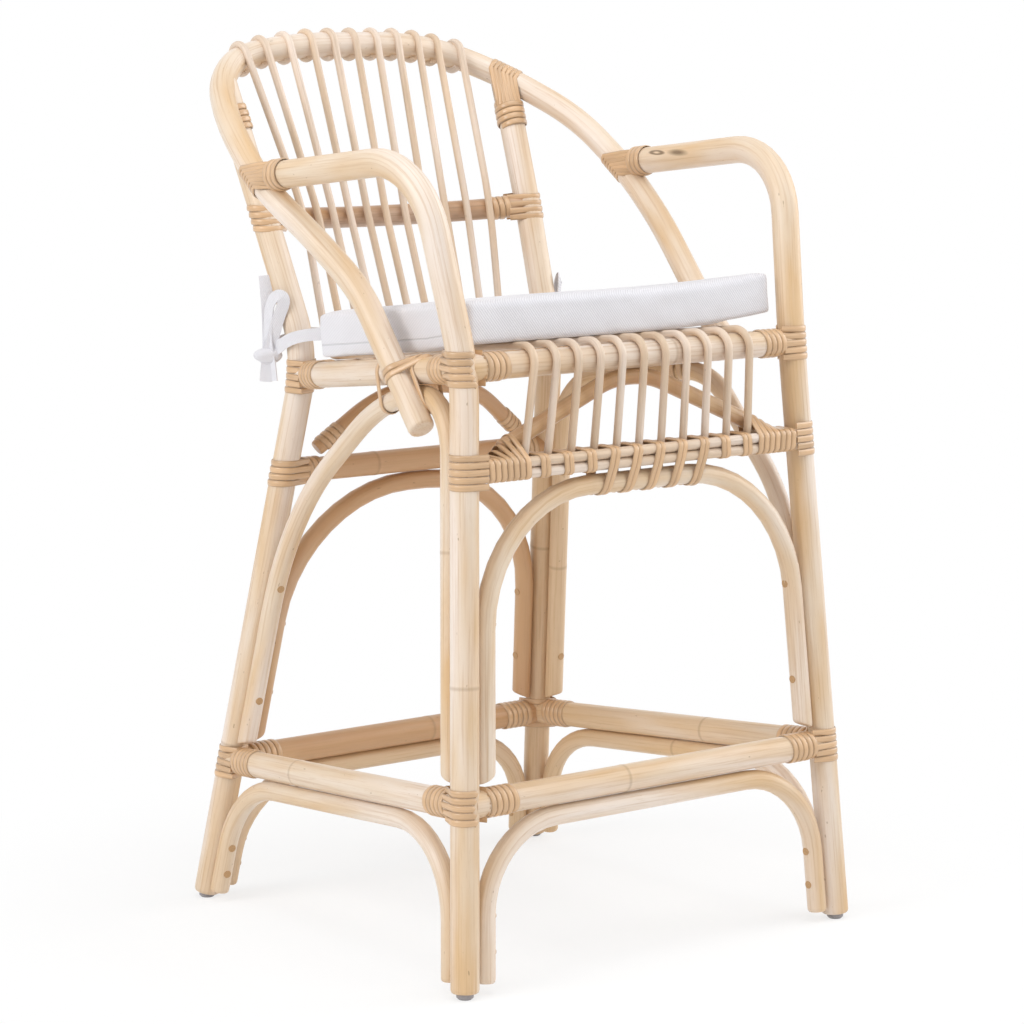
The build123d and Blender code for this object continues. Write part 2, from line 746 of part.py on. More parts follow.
# Back: coils where posts, arms, crossbar and small arches meet their neighbours
def coil_clear(axis, other_axis, other_r, coil_r):
    """Distance from a crossing pole at which a coil no longer meets it."""
    cosine = abs(axis.normalized().dot(other_axis.normalized()))
    return (other_r + gap + (coil_r + strand_r) * cosine) / sqrt(1 - cosine**2) + strand_d


coil_r = pole_r + strand_r + gap
for side, sign in SIDES.items():
    post = back_leg_line[side]
    post_axis = (post % 1) * -1
    hoop_centre, hoop_way = hoop_place(sign * post_top_x)
    post_start = hoop_centre + post_axis * coil_clear(post_axis, hoop_way, hoop_r, coil_r)
    wind("post_wraps", coil(post_start, post_axis, coil_r, post_turns, Vector(sign, 0, 0)), post_turns)
    arm = front_leg_line[side]
    arm_axis = (arm % 1) * -1
    arm_up = unit_across(Vector(0, 0, 1), arm_axis)
    arm_side = arm_axis.cross(arm_up)
    for i in range(arm_strips):
        centre = (arm @ 1) + arm_axis * (arm_strip_start - cope_depth + i * strand_step)
        outline = [arm_side * -coil_r, (arm_up - arm_side) * coil_r]
        outline += [(arm_up + arm_side) * coil_r, arm_side * coil_r]
        path = bent([centre + p for p in outline], coil_r * 0.95)
        windings.setdefault("arm_wraps", []).append((tube(path, strand_d), strand_step - strand_d))
    bar_r = crossbar_d / 2 + strand_r + 1.5 * gap
    bar_half = rail_turns * strand_step / 2
    bar_end = 0.0 if sign < 0 else 1.0
    bar_clear = max(coil_start, coil_clear(crossbar_path % bar_end, post_axis, pole_r, bar_r))
    bar_share = (bar_clear + bar_half) / crossbar_path.length
    bar_axis = (crossbar_path % abs(bar_end - bar_share)) * -sign
    bar_start = (crossbar_path @ abs(bar_end - bar_share)) - bar_axis * bar_half
    wind("crossbar_wraps", coil(bar_start, bar_axis, bar_r, rail_turns, Vector(0, 0, -1)), rail_turns)
    strips("crossbar_wraps", post, crossbar_z, [(crossbar_path % bar_end) * -sign])
    small = inner_paths["back"]
    end_share = 0.0 if sign < 0 else 1.0
    small_axis = (small % end_share) * -sign
    small_start = (small @ end_share) + small_axis * (apron_rail_r + inner_arch_d + strand_d)
    small_coil = coil(small_start, small_axis, inner_arch_rad + strand_r + gap, rail_turns, Vector(0, 0, 1))
    wind("inner_arch_wraps", small_coil, rail_turns)
    near, far = seat_lines[side]
    rail_axis = (far - near).normalized()
    rail_share = (side_arch_crown_y - front_seat_y + hoop_d) / (back_seat_y - front_seat_y)
    lash_start = near + (far - near) * rail_share
    lash_up = unit_across(Vector(0, 0, 1), rail_axis)
    lash_across = rail_axis.cross(lash_up)
    lash_half = seat_rail_r + gap + strand_r
    lash_turns = strip_turns * strand_step
    arch_path = arch_lines[side]
    arch_spot = arch_path @ point_where(arch_path, "Y", lash_start.Y + lash_turns, 0.2, 0.7)
    lash_low = (arch_spot - lash_start).dot(lash_up) - arch_r * 1.2 - gap - strand_r
    lash = loops(lash_start, rail_axis, lash_across, lash_up, lash_half, lash_half, lash_low, strip_turns)
    wind("side_lashings", lash, strip_turns)

for group, strands in windings.items():
    keep_group([solid for solid, _ in strands], group)
    print(f"{group}: {len(strands)} strands, least gap {min(least for _, least in strands):.2f} mm")

# Floor glides under the legs
glides = []
for end in LEG_AT:
    for side in SIDES:
        foot = LEG_AT[end](side, glide_h)
        with BuildPart() as glide:
            with BuildSketch(Plane(origin=(foot.X, foot.Y, 0))):
                Circle(glide_d / 2)
            extrude(amount=glide_h)
            chamfer(glide.edges().group_by(Axis.Z)[0], glide_h / 3)
        glides.append(glide.part)
keep_group(glides, "floor_glides")

# Cushion: crowned box cushion with drawn-in sides, on the slats
slat_top = rail_clear + slat_r + gap
cushion_front = seat_front + seat_normal * slat_top
cushion_origin = (0, cushion_front.Y, cushion_front.Z)
cushion_plane = Plane(origin=cushion_origin, x_dir=(1, 0, 0), z_dir=tuple(seat_normal))
cushion_front_half = front_seat_x - pole_r - cushion_side_clear


def pillow(skin):
    """Crowned cushion solid with drawn-in sides, a skin's thickness inside the outer face."""
    edge = cushion_t * 0.11
    levels = [(0, edge), (edge, 0), (cushion_t - edge, 0), (cushion_t - edge / 4, edge)]
    levels += [(cushion_t + cushion_crown * 0.6, edge * 9), (cushion_t + cushion_crown, edge * 18)]
    shrink = (cushion_t + cushion_crown - 2 * skin) / (cushion_t + cushion_crown)
    with BuildPart() as body:
        for height, level_inset in levels:
            inset = level_inset + skin
            front = cushion_front_half - inset
            back = front - cushion_back_taper
            near = cushion_setback + inset
            far = cushion_setback + cushion_depth - inset
            middle = (front + back) / 2 - cushion_pull
            with BuildSketch(cushion_plane.offset(skin + height * shrink)) as level:
                with BuildLine():
                    ThreePointArc((-front, near), (0, near + cushion_pull), (front, near))
                    ThreePointArc((front, near), (middle, (near + far) / 2), (back, far))
                    ThreePointArc((back, far), (0, far - cushion_pull), (-back, far))
                    ThreePointArc((-back, far), (-middle, (near + far) / 2), (-front, near))
                make_face()
                fillet(level.vertices(), cushion_corner_r)
        loft(ruled=True)
    return body.part


cushion_body = pillow(0)
cushion_hollow = pillow(cover_t)
with BuildPart() as cushion_cover:
    add(cushion_body)
    add(cushion_hollow, mode=Mode.SUBTRACT)
keep(cushion_cover.part, "cushion_cover")
keep(pillow(cover_t + gap), "cushion_foam")

# Ties: a strap from each back corner of the cushion round the post, and a bow on its outside
tie_level = cushion_plane.offset(cushion_t / 2).from_local_coords((0, cushion_depth, 0)).Z
strap_x = pole_r + tape_t / 2 + gap + 0.5
strap_y = pole_r * 1.3 + tape_t


def tape(points, width_way, radii):
    """Flat tape along a route."""
    path = bent(points, radii)
    with BuildPart() as strip:
        with BuildSketch(Plane(origin=path @ 0, x_dir=width_way, z_dir=path % 0)):
            Rectangle(tape_w, tape_t)
        sweep(path=path)
    return strip.part


def tie(side, sign):
    """Strap and bow of one back corner."""
    post = back_leg_at(side, tie_level)
    corner_y = cushion_plane.from_local_coords((0, cushion_setback + cushion_depth, cushion_t / 2)).Y

    def spot(x, y, z):
        """Place near the post: outwards, backwards and up from its centre."""
        return Vector(post.X + sign * x, post.Y + y, tie_level + z)

    start_y = corner_y + gap - post.Y
    inner_strap = [
        spot(-strap_x, start_y, -2),
        spot(-strap_x, strap_y, -4),
        spot(strap_x, strap_y, -8),
        spot(strap_x + 2, strap_y + 1, -9),
    ]
    outer_strap = [spot(-8, start_y, -2), spot(strap_x + 1, -strap_y, -4)]
    outer_strap += [spot(strap_x + 5, strap_y - 4, -16)]
    straps = [tape(route, (0, 0, 1), smooth_radii(route)) for route in (inner_strap, outer_strap)]
    keep_group(straps, f"tie_strap_{side}")
    knot_x = strap_x + 5 + tape_t / 2 + gap + knot_d / 2
    knot_y = strap_y - 4
    knot_z = -18
    with BuildPart() as knot:
        with Locations(spot(knot_x, knot_y, knot_z)):
            Sphere(knot_d / 2)
    low = knot_z - knot_d / 2 - gap
    high = knot_z + knot_d / 2 + gap
    tail_down = [
        spot(knot_x, knot_y, low - 0.8),
        spot(knot_x - 1, knot_y - 8, low - 18),
        spot(knot_x - 2, knot_y - 10, low - 36),
    ]
    tail_up = [
        spot(knot_x + 2, knot_y + 2, high - 0.4),
        spot(knot_x + 1, knot_y + 6, high + 32),
        spot(knot_x, knot_y + 5, high + 66),
    ]
    bow_loop = [
        spot(knot_x - 2, knot_y - 3, high - 0.6),
        spot(knot_x - 4, knot_y - 13, high + 18),
        spot(knot_x - 3, knot_y - 29, high + 41),
        spot(knot_x + 6, knot_y - 33, high + 39),
        spot(knot_x + 9, knot_y - 16, high + 16),
        spot(knot_x + 7, knot_y - 6, high),
    ]
    pieces = [knot.part]
    for route in (tail_down, tail_up, bow_loop):
        pieces.append(tape(route, (0, 1, 0), smooth_radii(route)))
    keep_group(pieces, f"tie_bow_{side}")


for side, sign in SIDES.items():
    tie(side, sign)
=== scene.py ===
"""Rattan bar stool with bent arms, a hooped back, a ring of foot rails and a tied cotton cushion."""
import math
import random
from types import SimpleNamespace

import bpy
from mathutils import Matrix, Vector, geometry, noise


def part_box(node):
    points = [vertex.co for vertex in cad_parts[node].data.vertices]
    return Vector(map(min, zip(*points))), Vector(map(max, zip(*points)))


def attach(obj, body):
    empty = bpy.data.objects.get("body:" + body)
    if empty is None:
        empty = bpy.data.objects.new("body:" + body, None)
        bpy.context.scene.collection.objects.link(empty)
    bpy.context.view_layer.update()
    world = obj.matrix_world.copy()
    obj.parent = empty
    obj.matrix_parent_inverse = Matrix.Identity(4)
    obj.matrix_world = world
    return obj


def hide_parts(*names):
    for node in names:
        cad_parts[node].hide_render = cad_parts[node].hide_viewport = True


bl_info = {
    "name": "Rattan Bar Stool",
    "version": (1, 0, 0),
    "blender": (4, 5, 0),
    "location": "View3D > Sidebar > Rattan Stool",
    "description": "Bends the poles, winds the cane and sews the cushion of a rattan bar stool",
    "category": "Add Mesh",
}

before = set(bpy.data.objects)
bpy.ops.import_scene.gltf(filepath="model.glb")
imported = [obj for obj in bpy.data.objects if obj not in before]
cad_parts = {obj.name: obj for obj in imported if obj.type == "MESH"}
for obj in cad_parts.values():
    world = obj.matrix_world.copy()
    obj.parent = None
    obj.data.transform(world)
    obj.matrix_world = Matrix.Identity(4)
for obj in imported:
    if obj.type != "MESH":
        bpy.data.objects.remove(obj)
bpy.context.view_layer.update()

MM = 0.001
UP = Vector((0, 0, 1))
BLACK = (0.0, 0.0, 0.0, 1.0)
WHITE = (1.0, 1.0, 1.0, 1.0)
SIDES = {"left": -1, "right": 1}

# Places of the legs in millimetres from the seat's datum: on the floor, and at the seat rails
FLOOR_X = {"front": 259, "back": 238}
FLOOR_Y = {"front": -258, "back": 253}
SEAT_X = {"front": 224, "back": 174}
SEAT_Y = {"front": -213, "back": 146}
# Heights of the rails' centres at the front and the back legs, and of the crossbar
SEAT_Z = {"front": 640, "back": 599}
FOOT_Z = {"front": 197, "back": 161}
APRON_Z = {"front": 536, "back": 491}
BAR_Z = 770
GLIDE_H = 6
GLIDE_R = 9
# Metres from the middle of the hoop to each post's top, and from slat to slat along their way
POST_TOP = 0.197
SLAT_STEP = {"hoop": 0.030, "bar": 0.0275, "seat": 0.0245, "rail": 0.0292, "bundle": 0.0308}

# Where the front glides stand in the frame gives the shift of the whole stool, to a micrometre
GLIDE_Y = round(FLOOR_Y["front"] + (SEAT_Y["front"] - FLOOR_Y["front"]) * GLIDE_H / SEAT_Z["front"], 3)
MIDDLE = GLIDE_Y - (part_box("floor_glides")[0][1] / MM + GLIDE_R)


def linear(hex_colour):
    """Linear colour of an sRGB hex value."""
    channels = [int(hex_colour[i:i + 2], 16) / 255 for i in (1, 3, 5)]
    return [c / 12.92 if c <= 0.04045 else ((c + 0.055) / 1.055) ** 2.4 for c in channels]


def length(name, description, default):
    """A size in metres that the panel shows."""
    return bpy.props.FloatProperty(name=name, description=description, default=default, unit="LENGTH")


def colour(name, description, hex_colour):
    """A colour that the panel shows."""
    return bpy.props.FloatVectorProperty(
        name=name, description=description, default=linear(hex_colour), subtype="COLOR", min=0, max=1
    )


class PoleSizes(bpy.types.PropertyGroup):
    """Thicknesses of the rattan."""

    pole_d: length("Leg", "Thickness of the legs, arms and posts", 0.030)
    hoop_d: length("Hoop", "Thickness of the back hoop", 0.028)
    seat_rail_d: length("Seat rail", "Thickness of the four seat rails", 0.028)
    foot_rail_d: length("Foot rail", "Thickness of the four foot rails", 0.029)
    apron_rail_d: length("Apron rail", "Thickness of the rail under the seat's back", 0.027)
    crossbar_d: length("Crossbar", "Thickness of the bar across the back", 0.024)
    arch_d: length("Arch", "Thickness of the arches between the legs", 0.022)
    inner_arch_d: length("Inner arch", "Thickness of the small arches under the seat", 0.018)
    slat_d: length("Slat", "Thickness of the back and seat slats", 0.0085)
    rod_d: length("Bundle rod", "Thickness of the four rods under the front rail", 0.011)


class CaneSizes(bpy.types.PropertyGroup):
    """Sizes of the cane strips that bind the joints."""

    width: length("Width", "Width of a cane strip", 0.0071)
    thickness: length("Thickness", "Thickness of a cane strip", 0.0014)
    step: length("Step", "Distance from one turn to the next", 0.0074)


class CushionSizes(bpy.types.PropertyGroup):
    """Sizes of the cushion and its ties."""

    thickness: length("Thickness", "Height of the cushion's side", 0.042)
    depth: length("Depth", "Cushion from front to back", 0.296)
    setback: length("Setback", "Cushion's front behind the middle of the front rail", 0.005)
    corner: length("Corner", "Rounding of the cushion's upright edges", 0.008)
    swell: length("Swell", "Most that the filling pushes the cover out", 0.0030)
    seam: length("Seam height", "Height of the sewn line above the bottom edge", 0.012)
    twill: length("Twill", "Spacing of the twill's diagonal ribs", 0.0019)
    tape_w: length("Tape width", "Width of the tie tape", 0.0135)
    tape_t: length("Tape thickness", "Thickness of the tie tape", 0.0012)


class StoolColours(bpy.types.PropertyGroup):
    """Colours of the stool and its stage."""

    pale: colour("Pale rattan", "Peeled and sanded pole", "#e3d0b9")
    honey: colour("Honey rattan", "Darker patches of a pole", "#dab88d")
    tan: colour("Tan rattan", "Smoked pole of the crossbar", "#c89c72")
    slat: colour("Slat rattan", "Peeled core of the slats", "#dfc5a9")
    streak: colour("Streak", "Fibre streaks along a pole", "#bd9567")
    cane: colour("Cane", "Outer skin of the binding strips", "#d9b38a")
    cotton: colour("Cotton", "Cushion cover and ties", "#ecebf0")
    bleached: colour("Bleached", "Whitish patches of a pole", "#efe3da")
    plug: colour("Plug", "Wood plugs over the nails", "#cba274")
    glide: colour("Glide", "Plastic glides under the feet", "#a9a5a8")
    floor: colour("Floor", "Studio floor", "#fbfbfb")


# Lines of the stool, in metres
def at(x, y, z):
    """Point given in millimetres from the seat's datum, moved so that the stool's box is centred."""
    return Vector((x, y - MIDDLE, z)) * MM


def across(v, axis):
    """Unit vector of the share of v that is square to an axis."""
    return (v - axis * (v.dot(axis) / axis.length_squared)).normalized()


def flipped(p):
    """The same point on the stool's other side."""
    return Vector((-p.x, p.y, p.z))


def route(corners, bends):
    """Bezier stops, each a point with its two handles, for straight runs joined by round bends."""
    arcs = [(corners[0], corners[0], Vector(), Vector())]
    for before, corner, after, bend in zip(corners, corners[1:], corners[2:], bends):
        into = (corner - before).normalized()
        out = (after - corner).normalized()
        turn = into.angle(out)
        reach = bend * math.tan(turn / 2)
        arm = bend * math.tan(turn / 4) * 4 / 3
        arcs.append((corner - into * reach, corner + out * reach, into * arm, out * arm))
    arcs.append((corners[-1], corners[-1], Vector(), Vector()))
    stops = []
    for i, (entry, leave, arm_in, arm_out) in enumerate(arcs):
        run_in = (entry - arcs[i - 1][1]) / 3 if i else Vector()
        run_out = (arcs[i + 1][0] - leave) / 3 if i + 1 < len(arcs) else Vector()
        if arm_in.length:
            stops.append((entry, entry - run_in, entry + arm_in))
            stops.append((leave, leave - arm_out, leave + run_out))
        else:
            stops.append((entry, entry - run_in, entry + run_out))
    return stops


def smooth_bends(corners, share=0.45):
    """Largest bend at each corner that leaves room for its neighbours."""
    bends = []
    for before, corner, after in zip(corners, corners[1:], corners[2:]):
        turn = (corner - before).angle(after - corner)
        bends.append(share * min((corner - before).length, (after - corner).length) / math.tan(turn / 2))
    return bends


def bent(*corners):
    """Route with the largest smooth bends."""
    return route(list(corners), smooth_bends(corners))


def bowed(left, bow):
    """Route of an even bow from a point to its mirror image, as deep in the middle as the bow."""
    middle = Vector((0, left.y, left.z)) + bow
    aside = Vector((1, 0, 0))
    back = bow.normalized()
    radius = (left.x**2 + bow.length_squared) / (2 * bow.length)
    turn = math.asin(-left.x / radius)
    arm = radius * math.tan(turn / 4) * 4 / 3
    rise = (aside * math.cos(turn) + back * math.sin(turn)) * arm
    fall = (aside * math.cos(turn) - back * math.sin(turn)) * arm
    right = flipped(left)
    stops = [(left, left - rise, left + rise), (middle, middle - aside * arm, middle + aside * arm)]
    return stops + [(right, right - fall, right + fall)]


def trace(stops, steps=24):
    """Points close together along a route."""
    line = [stops[0][0]]
    for (a, _, a_out), (b, b_in, _) in zip(stops, stops[1:]):
        line += geometry.interpolate_bezier(a, a_out, b_in, b, steps + 1)[1:]
    return line


def where(line, axis, value, start=0.0):
    """Point and direction on a line of points where one coordinate first has a value."""
    first = int(start * (len(line) - 1))
    for a, b in zip(line[first:], line[first + 1:]):
        if (a[axis] - value) * (b[axis] - value) <= 0 and a[axis] != b[axis]:
            return a.lerp(b, (value - a[axis]) / (b[axis] - a[axis])), (b - a).normalized()
    raise ValueError(f"the line never has {value} on axis {axis}")


def on_side_rail(ends, y):
    """Value at a place along a side rail, from its values at the front and the back leg."""
    share = (y - SEAT_Y["front"]) / (SEAT_Y["back"] - SEAT_Y["front"])
    return ends["front"] + (ends["back"] - ends["front"]) * share


def stool_lines():
    """Centre lines of every pole: hoop, legs, rails, arches, rods and slats."""
    w = SimpleNamespace(routes={}, gap=0.3 * MM, sizes=bpy.context.scene.stool_poles)
    for draw in (hoop_line, leg_lines, rail_lines, seat_plane, arch_lines, bundle_lines, slat_lines):
        draw(w)
    return w


def hoop_line(w):
    """Hoop over the back. Its left end runs on below the seat rail, its right end stops beside it."""
    # Half of the hoop in millimetres: aside, back from the datum and up from the front seat rail
    half = [(70, 297, 317), (150, 304, 305), (204, 257, 275), (243, 180, 232), (255, 102, 172)]
    half += [(240, 26, 120), (225, -36, 68)]
    beside_rail = 20
    corners = []
    for sign, end in ((-1, (-158, -66)), (1, (-108, -15))):
        lower = [(on_side_rail(SEAT_X, y) + beside_rail, y, rise) for y, rise in ((-81, 12), end)]
        corners += [at(sign * x, y, SEAT_Z["front"] + rise) for x, y, rise in (half + lower)[::sign]]
    w.routes["back_hoop"] = bent(*corners)
    w.hoop = trace(w.routes["back_hoop"])


def leg_lines(w):
    """Legs: the front pair bends back as the arms, the back pair leans back as the posts."""
    w.leg_ends = {}
    w.legs = {}
    arm_joint = where(w.hoop, 1, at(0, 112, 0).y, 0.5)[0]
    for side, sign in SIDES.items():
        arm = [at(sign * 247, -169, 852), arm_joint if sign > 0 else flipped(arm_joint)]
        post = [at(sign * 185, 199, BAR_Z), where(w.hoop, 0, sign * POST_TOP)[0]]
        for end, upper, bend_rise, bends in (
            ("front", arm, 0, [0.380, 0.084]),
            ("back", post, 23, [0.150, 0.600]),
        ):
            foot = at(sign * FLOOR_X[end], FLOOR_Y[end], 0)
            seat = at(sign * SEAT_X[end], SEAT_Y[end], SEAT_Z[end])
            bottom = foot.lerp(seat, GLIDE_H / SEAT_Z[end])
            bend = foot + (seat - foot) * (1 + bend_rise / SEAT_Z[end])
            stops = route([bottom, bend, *upper], bends)
            w.leg_ends[end, side] = foot, seat
            w.routes[f"{end}_leg_{side}"] = stops
            w.legs[end, side] = trace(stops)

    def leg_at(end, side, z):
        """Point on a leg's centre line at a height in millimetres."""
        return where(w.legs[end, side], 2, z * MM)[0]

    w.leg_at = leg_at


def rail_lines(w):
    """Rings of rails between the legs, the apron rail and the crossbar."""
    w.rails = {}
    for ring, heights in (("seat", SEAT_Z), ("foot", FOOT_Z)):
        spot = {(end, side): w.leg_at(end, side, z) for end, z in heights.items() for side in SIDES}
        for end in heights:
            w.rails[f"{ring}_rail_{end}"] = spot[end, "left"], spot[end, "right"]
        for side in SIDES:
            w.rails[f"{ring}_rail_{side}"] = spot["front", side], spot["back", side]
    w.rails["apron_rail_back"] = [w.leg_at("back", side, APRON_Z["back"]) for side in SIDES]
    end_inset = 6 * MM
    for name, (a, b) in w.rails.items():
        inset = (b - a).normalized() * end_inset
        w.routes[name] = route([a + inset, b - inset], [])
    bar_end = w.leg_at("back", "left", BAR_Z) + Vector((3, 0, 0)) * MM
    w.routes["back_crossbar"] = bowed(bar_end, Vector((0, 44, -7)) * MM)
    w.bar = trace(w.routes["back_crossbar"])


def seat_plane(w):
    """Plane over the front and the back seat rail that the slats and the cushion lie on."""
    s = w.sizes
    w.seat_front = w.rails["seat_rail_front"][0]
    w.seat_back = w.rails["seat_rail_back"][0]
    w.seat_run = Vector((0, w.seat_back.y - w.seat_front.y, w.seat_back.z - w.seat_front.z)).normalized()
    w.seat_normal = Vector((1, 0, 0)).cross(w.seat_run)
    w.slat_rise = (s.seat_rail_d + s.slat_d) / 2 + 1.5 * w.gap
    w.slat_top = w.slat_rise + s.slat_d / 2 + w.gap


def arch_lines(w):
    """Arches between the legs: the limbs lie along the legs and the crowns bear on the rails."""
    s = w.sizes
    limb = (s.pole_d + s.arch_d) / 2 + w.gap

    def limb_point(leg, towards, z):
        """Point at a height on the limb beside a leg, on the side of another leg."""
        foot, seat = w.leg_ends[leg]
        other_foot, other_seat = w.leg_ends[towards]
        inner = foot + across(other_foot + other_seat - foot - seat, seat - foot) * limb
        return inner + (seat - foot) * ((z * MM - inner.z) / (seat.z - foot.z))

    def crown_corner(leg, towards, heights, drop):
        """Point where a limb meets the line that lies a drop below a rail."""
        here = limb_point(leg, towards, heights[leg[0]])
        there = limb_point(towards, leg, heights[towards[0]])
        span = (here - there).xy.length + 2 * limb
        slope = (heights[towards[0]] - heights[leg[0]]) * MM / span
        rise = slope * limb - drop * math.hypot(1, slope)
        return limb_point(leg, towards, heights[leg[0]] + rise / MM)

    def even_arch(name, a, b, low, heights, drop, bend):
        """Arch with the same bend at both ends of its crown."""
        crown = [crown_corner(a, b, heights, drop), crown_corner(b, a, heights, drop)]
        corners = [limb_point(a, b, low)] + crown + [limb_point(b, a, low)]
        w.routes[name] = route(corners, [bend, bend])

    def under(rail_d):
        """Distance from a rail's centre to that of an arch under it."""
        return (rail_d + s.arch_d) / 2 + w.gap

    def under_seat(y):
        """Height of an arch's centre under a side rail of the seat, in millimetres."""
        return on_side_rail(SEAT_Z, y) - under(s.seat_rail_d) / MM

    pairs = {end: ((end, "left"), (end, "right")) for end in ("front", "back")}
    pairs.update({side: (("back", side), ("front", side)) for side in SIDES})
    floor_gap = 12
    for place, (a, b) in pairs.items():
        even_arch(f"lower_arch_{place}", a, b, floor_gap, FOOT_Z, under(s.foot_rail_d), 0.095)
    low = {end: z + 24 for end, z in FOOT_Z.items()}
    under_bundle = s.rod_d + 3.6 * MM + s.arch_d / 2 + 3 * w.gap
    for end, drop, bend in (("front", under_bundle, 0.145), ("back", under(s.apron_rail_d), 0.165)):
        even_arch(f"upper_arch_{end}", *pairs[end], low[end], APRON_Z, drop, bend)

    # The left side arch sweeps up from the back leg, the right one from the front leg
    at_front = under_seat(SEAT_Y["front"] + limb / MM)
    at_back = under_seat(SEAT_Y["back"] - limb / MM)
    for side, crown_y, rear_z, front_z, bends in (
        ("left", -45, low["back"] + 259.35, at_front, [0.290, 0.250, 0.058]),
        ("right", -99, at_back, low["front"] + 238, [0.080, 0.065, 0.200]),
    ):
        a, b = pairs[side]
        crown = at(SIDES[side] * on_side_rail(SEAT_X, crown_y), crown_y, under_seat(crown_y))
        corners = [limb_point(a, b, low["back"]), limb_point(a, b, rear_z), crown]
        corners += [limb_point(b, a, front_z), limb_point(b, a, low["front"])]
        w.routes[f"upper_arch_{side}"] = route(corners, bends)


def bundle_lines(w):
    """Bundle of four rods under the front rail, and the small arches behind it and at the back."""
    s = w.sizes
    w.apron = [w.leg_at("front", side, APRON_Z["front"]) for side in SIDES]
    rod_y = (s.slat_d + s.rod_d) / 2 + w.gap + 1.2 * MM
    rod_z = (s.rod_d + w.gap) / 2
    w.rods = [[p + Vector((0, y, z)) for p in w.apron] for y in (-rod_y, rod_y) for z in (-rod_z, rod_z)]

    small = s.inner_arch_d / 2 + w.gap
    front_y = w.apron[0].y + s.slat_d / 2 + small
    off_rail = front_y - w.seat_front.y
    off_rod = front_y - w.apron[0].y - rod_y
    front_top = w.seat_front.z - math.sqrt((s.seat_rail_d / 2 + small) ** 2 - off_rail**2) - w.gap
    front_foot = w.apron[0].z + rod_z + math.sqrt((s.rod_d / 2 + small) ** 2 - off_rod**2) - 2 * MM
    back_y = w.rails["apron_rail_back"][0].y
    back_foot = APRON_Z["back"] * MM + s.apron_rail_d / 2 + small
    back_top = w.seat_back.z - s.seat_rail_d / 2 - small
    for end, foot, top in (
        ("front", Vector((-0.172, front_y, front_foot)), Vector((-0.025, front_y, front_top))),
        ("back", Vector((-0.142, back_y, back_foot)), Vector((-0.060, w.seat_back.y, back_top))),
    ):
        w.routes[f"inner_arch_{end}"] = bent(foot, top, flipped(top), flipped(foot))


def slat_lines(w):
    """Slats: hooked round the hoop, bowed past the crossbar, over both seat rails and into the bundle."""
    s = w.sizes
    middle_slat = 6
    bow_r = 0.380
    hook_turn = math.radians(285)
    hook_parts = 4
    for number in range(1, 2 * middle_slat):
        k = number - middle_slat
        centre, along = where(w.hoop, 0, k * SLAT_STEP["hoop"])
        seat_corner = Vector((k * SLAT_STEP["seat"], w.seat_back.y, w.seat_back.z))
        seat_corner += w.seat_normal * w.slat_rise + w.seat_run * 0.018
        bar_spot, bar_way = where(w.bar, 0, k * SLAT_STEP["bar"])
        away = bar_way.cross(centre - seat_corner).normalized()
        # The bow just clears the bar, and the slat leaves the hook in line with the bow
        bow = 0.0
        for _ in range(6):
            bow_corner = bar_spot + away * ((s.crossbar_d + s.slat_d) / 2 + 4 * w.gap + bow)
            up = (centre - bow_corner).normalized()
            front = across(Vector((0, -1, 0)), up)
            slant = abs(up.cross(front).dot(along))
            wrap = s.hoop_d / 2 / slant + 5 * MM - s.slat_d / 2 + w.gap
            tip = wrap / (centre - bow_corner).length
            side_way = front * math.sqrt(1 - tip**2) - up * tip
            touch = centre + side_way * wrap
            rise = (touch - bow_corner).normalized()
            bow = bow_r * (1 / math.cos((bow_corner - seat_corner).angle(rise) / 2) - 1)

        # The front run touches the round of the front rail on its way down to the bundle
        bundle_end = Vector((k * SLAT_STEP["bundle"], w.apron[0].y, w.apron[0].z - s.rod_d / 2))
        lean = Vector((w.seat_front.y - bundle_end.y, w.seat_front.z - bundle_end.z))
        swing = math.asin(w.slat_rise / lean.length)
        down_y = lean.x * math.cos(swing) - lean.y * math.sin(swing)
        down_z = lean.x * math.sin(swing) + lean.y * math.cos(swing)
        over = w.seat_front + w.seat_normal * w.slat_rise - bundle_end
        share = over.y * w.seat_run.z - over.z * w.seat_run.y
        share /= down_y * w.seat_run.z - down_z * w.seat_run.y
        rail_corner = bundle_end + Vector((0, down_y, down_z)) * share
        rail_corner.x = k * SLAT_STEP["rail"]
        corners = [touch, bow_corner, seat_corner, rail_corner, bundle_end]
        runs = route(corners, [bow_r, 0.018, w.slat_rise])

        part = hook_turn / hook_parts
        handle = wrap * math.tan(part / 4) * 4 / 3
        hook = []
        for i in range(hook_parts, 0, -1):
            turn = part * i
            point = centre + (side_way * math.cos(turn) + rise * math.sin(turn)) * wrap
            arm = (side_way * math.sin(turn) - rise * math.cos(turn)) * handle
            hook.append((point, point - arm, point + arm))
        runs[0] = (touch, touch + rise * handle, runs[0][2])
        w.routes[f"slat_{number:02d}"] = hook + runs


# Materials
def add_node(tree, kind, inputs=(), **settings):
    """Add a node with its settings, and set or link its inputs."""
    made = tree.nodes.new(kind)
    for name, value in settings.items():
        setattr(made, name, value)
    for socket, value in dict(inputs).items():
        if isinstance(value, bpy.types.NodeSocket):
            tree.links.new(value, made.inputs[socket])
        else:
            made.inputs[socket].default_value = value
    return made


def new_material(name):
    """Empty node material with an output."""
    material = bpy.data.materials.new(name)
    material.use_nodes = True
    tree = material.node_tree
    tree.nodes.clear()
    return material, tree, tree.nodes.new("ShaderNodeOutputMaterial")


def rgba(value, share=1.0):
    """Colour as a socket value, made darker or lighter by a share."""
    return (*(min(1.0, v * share) for v in value), 1.0)


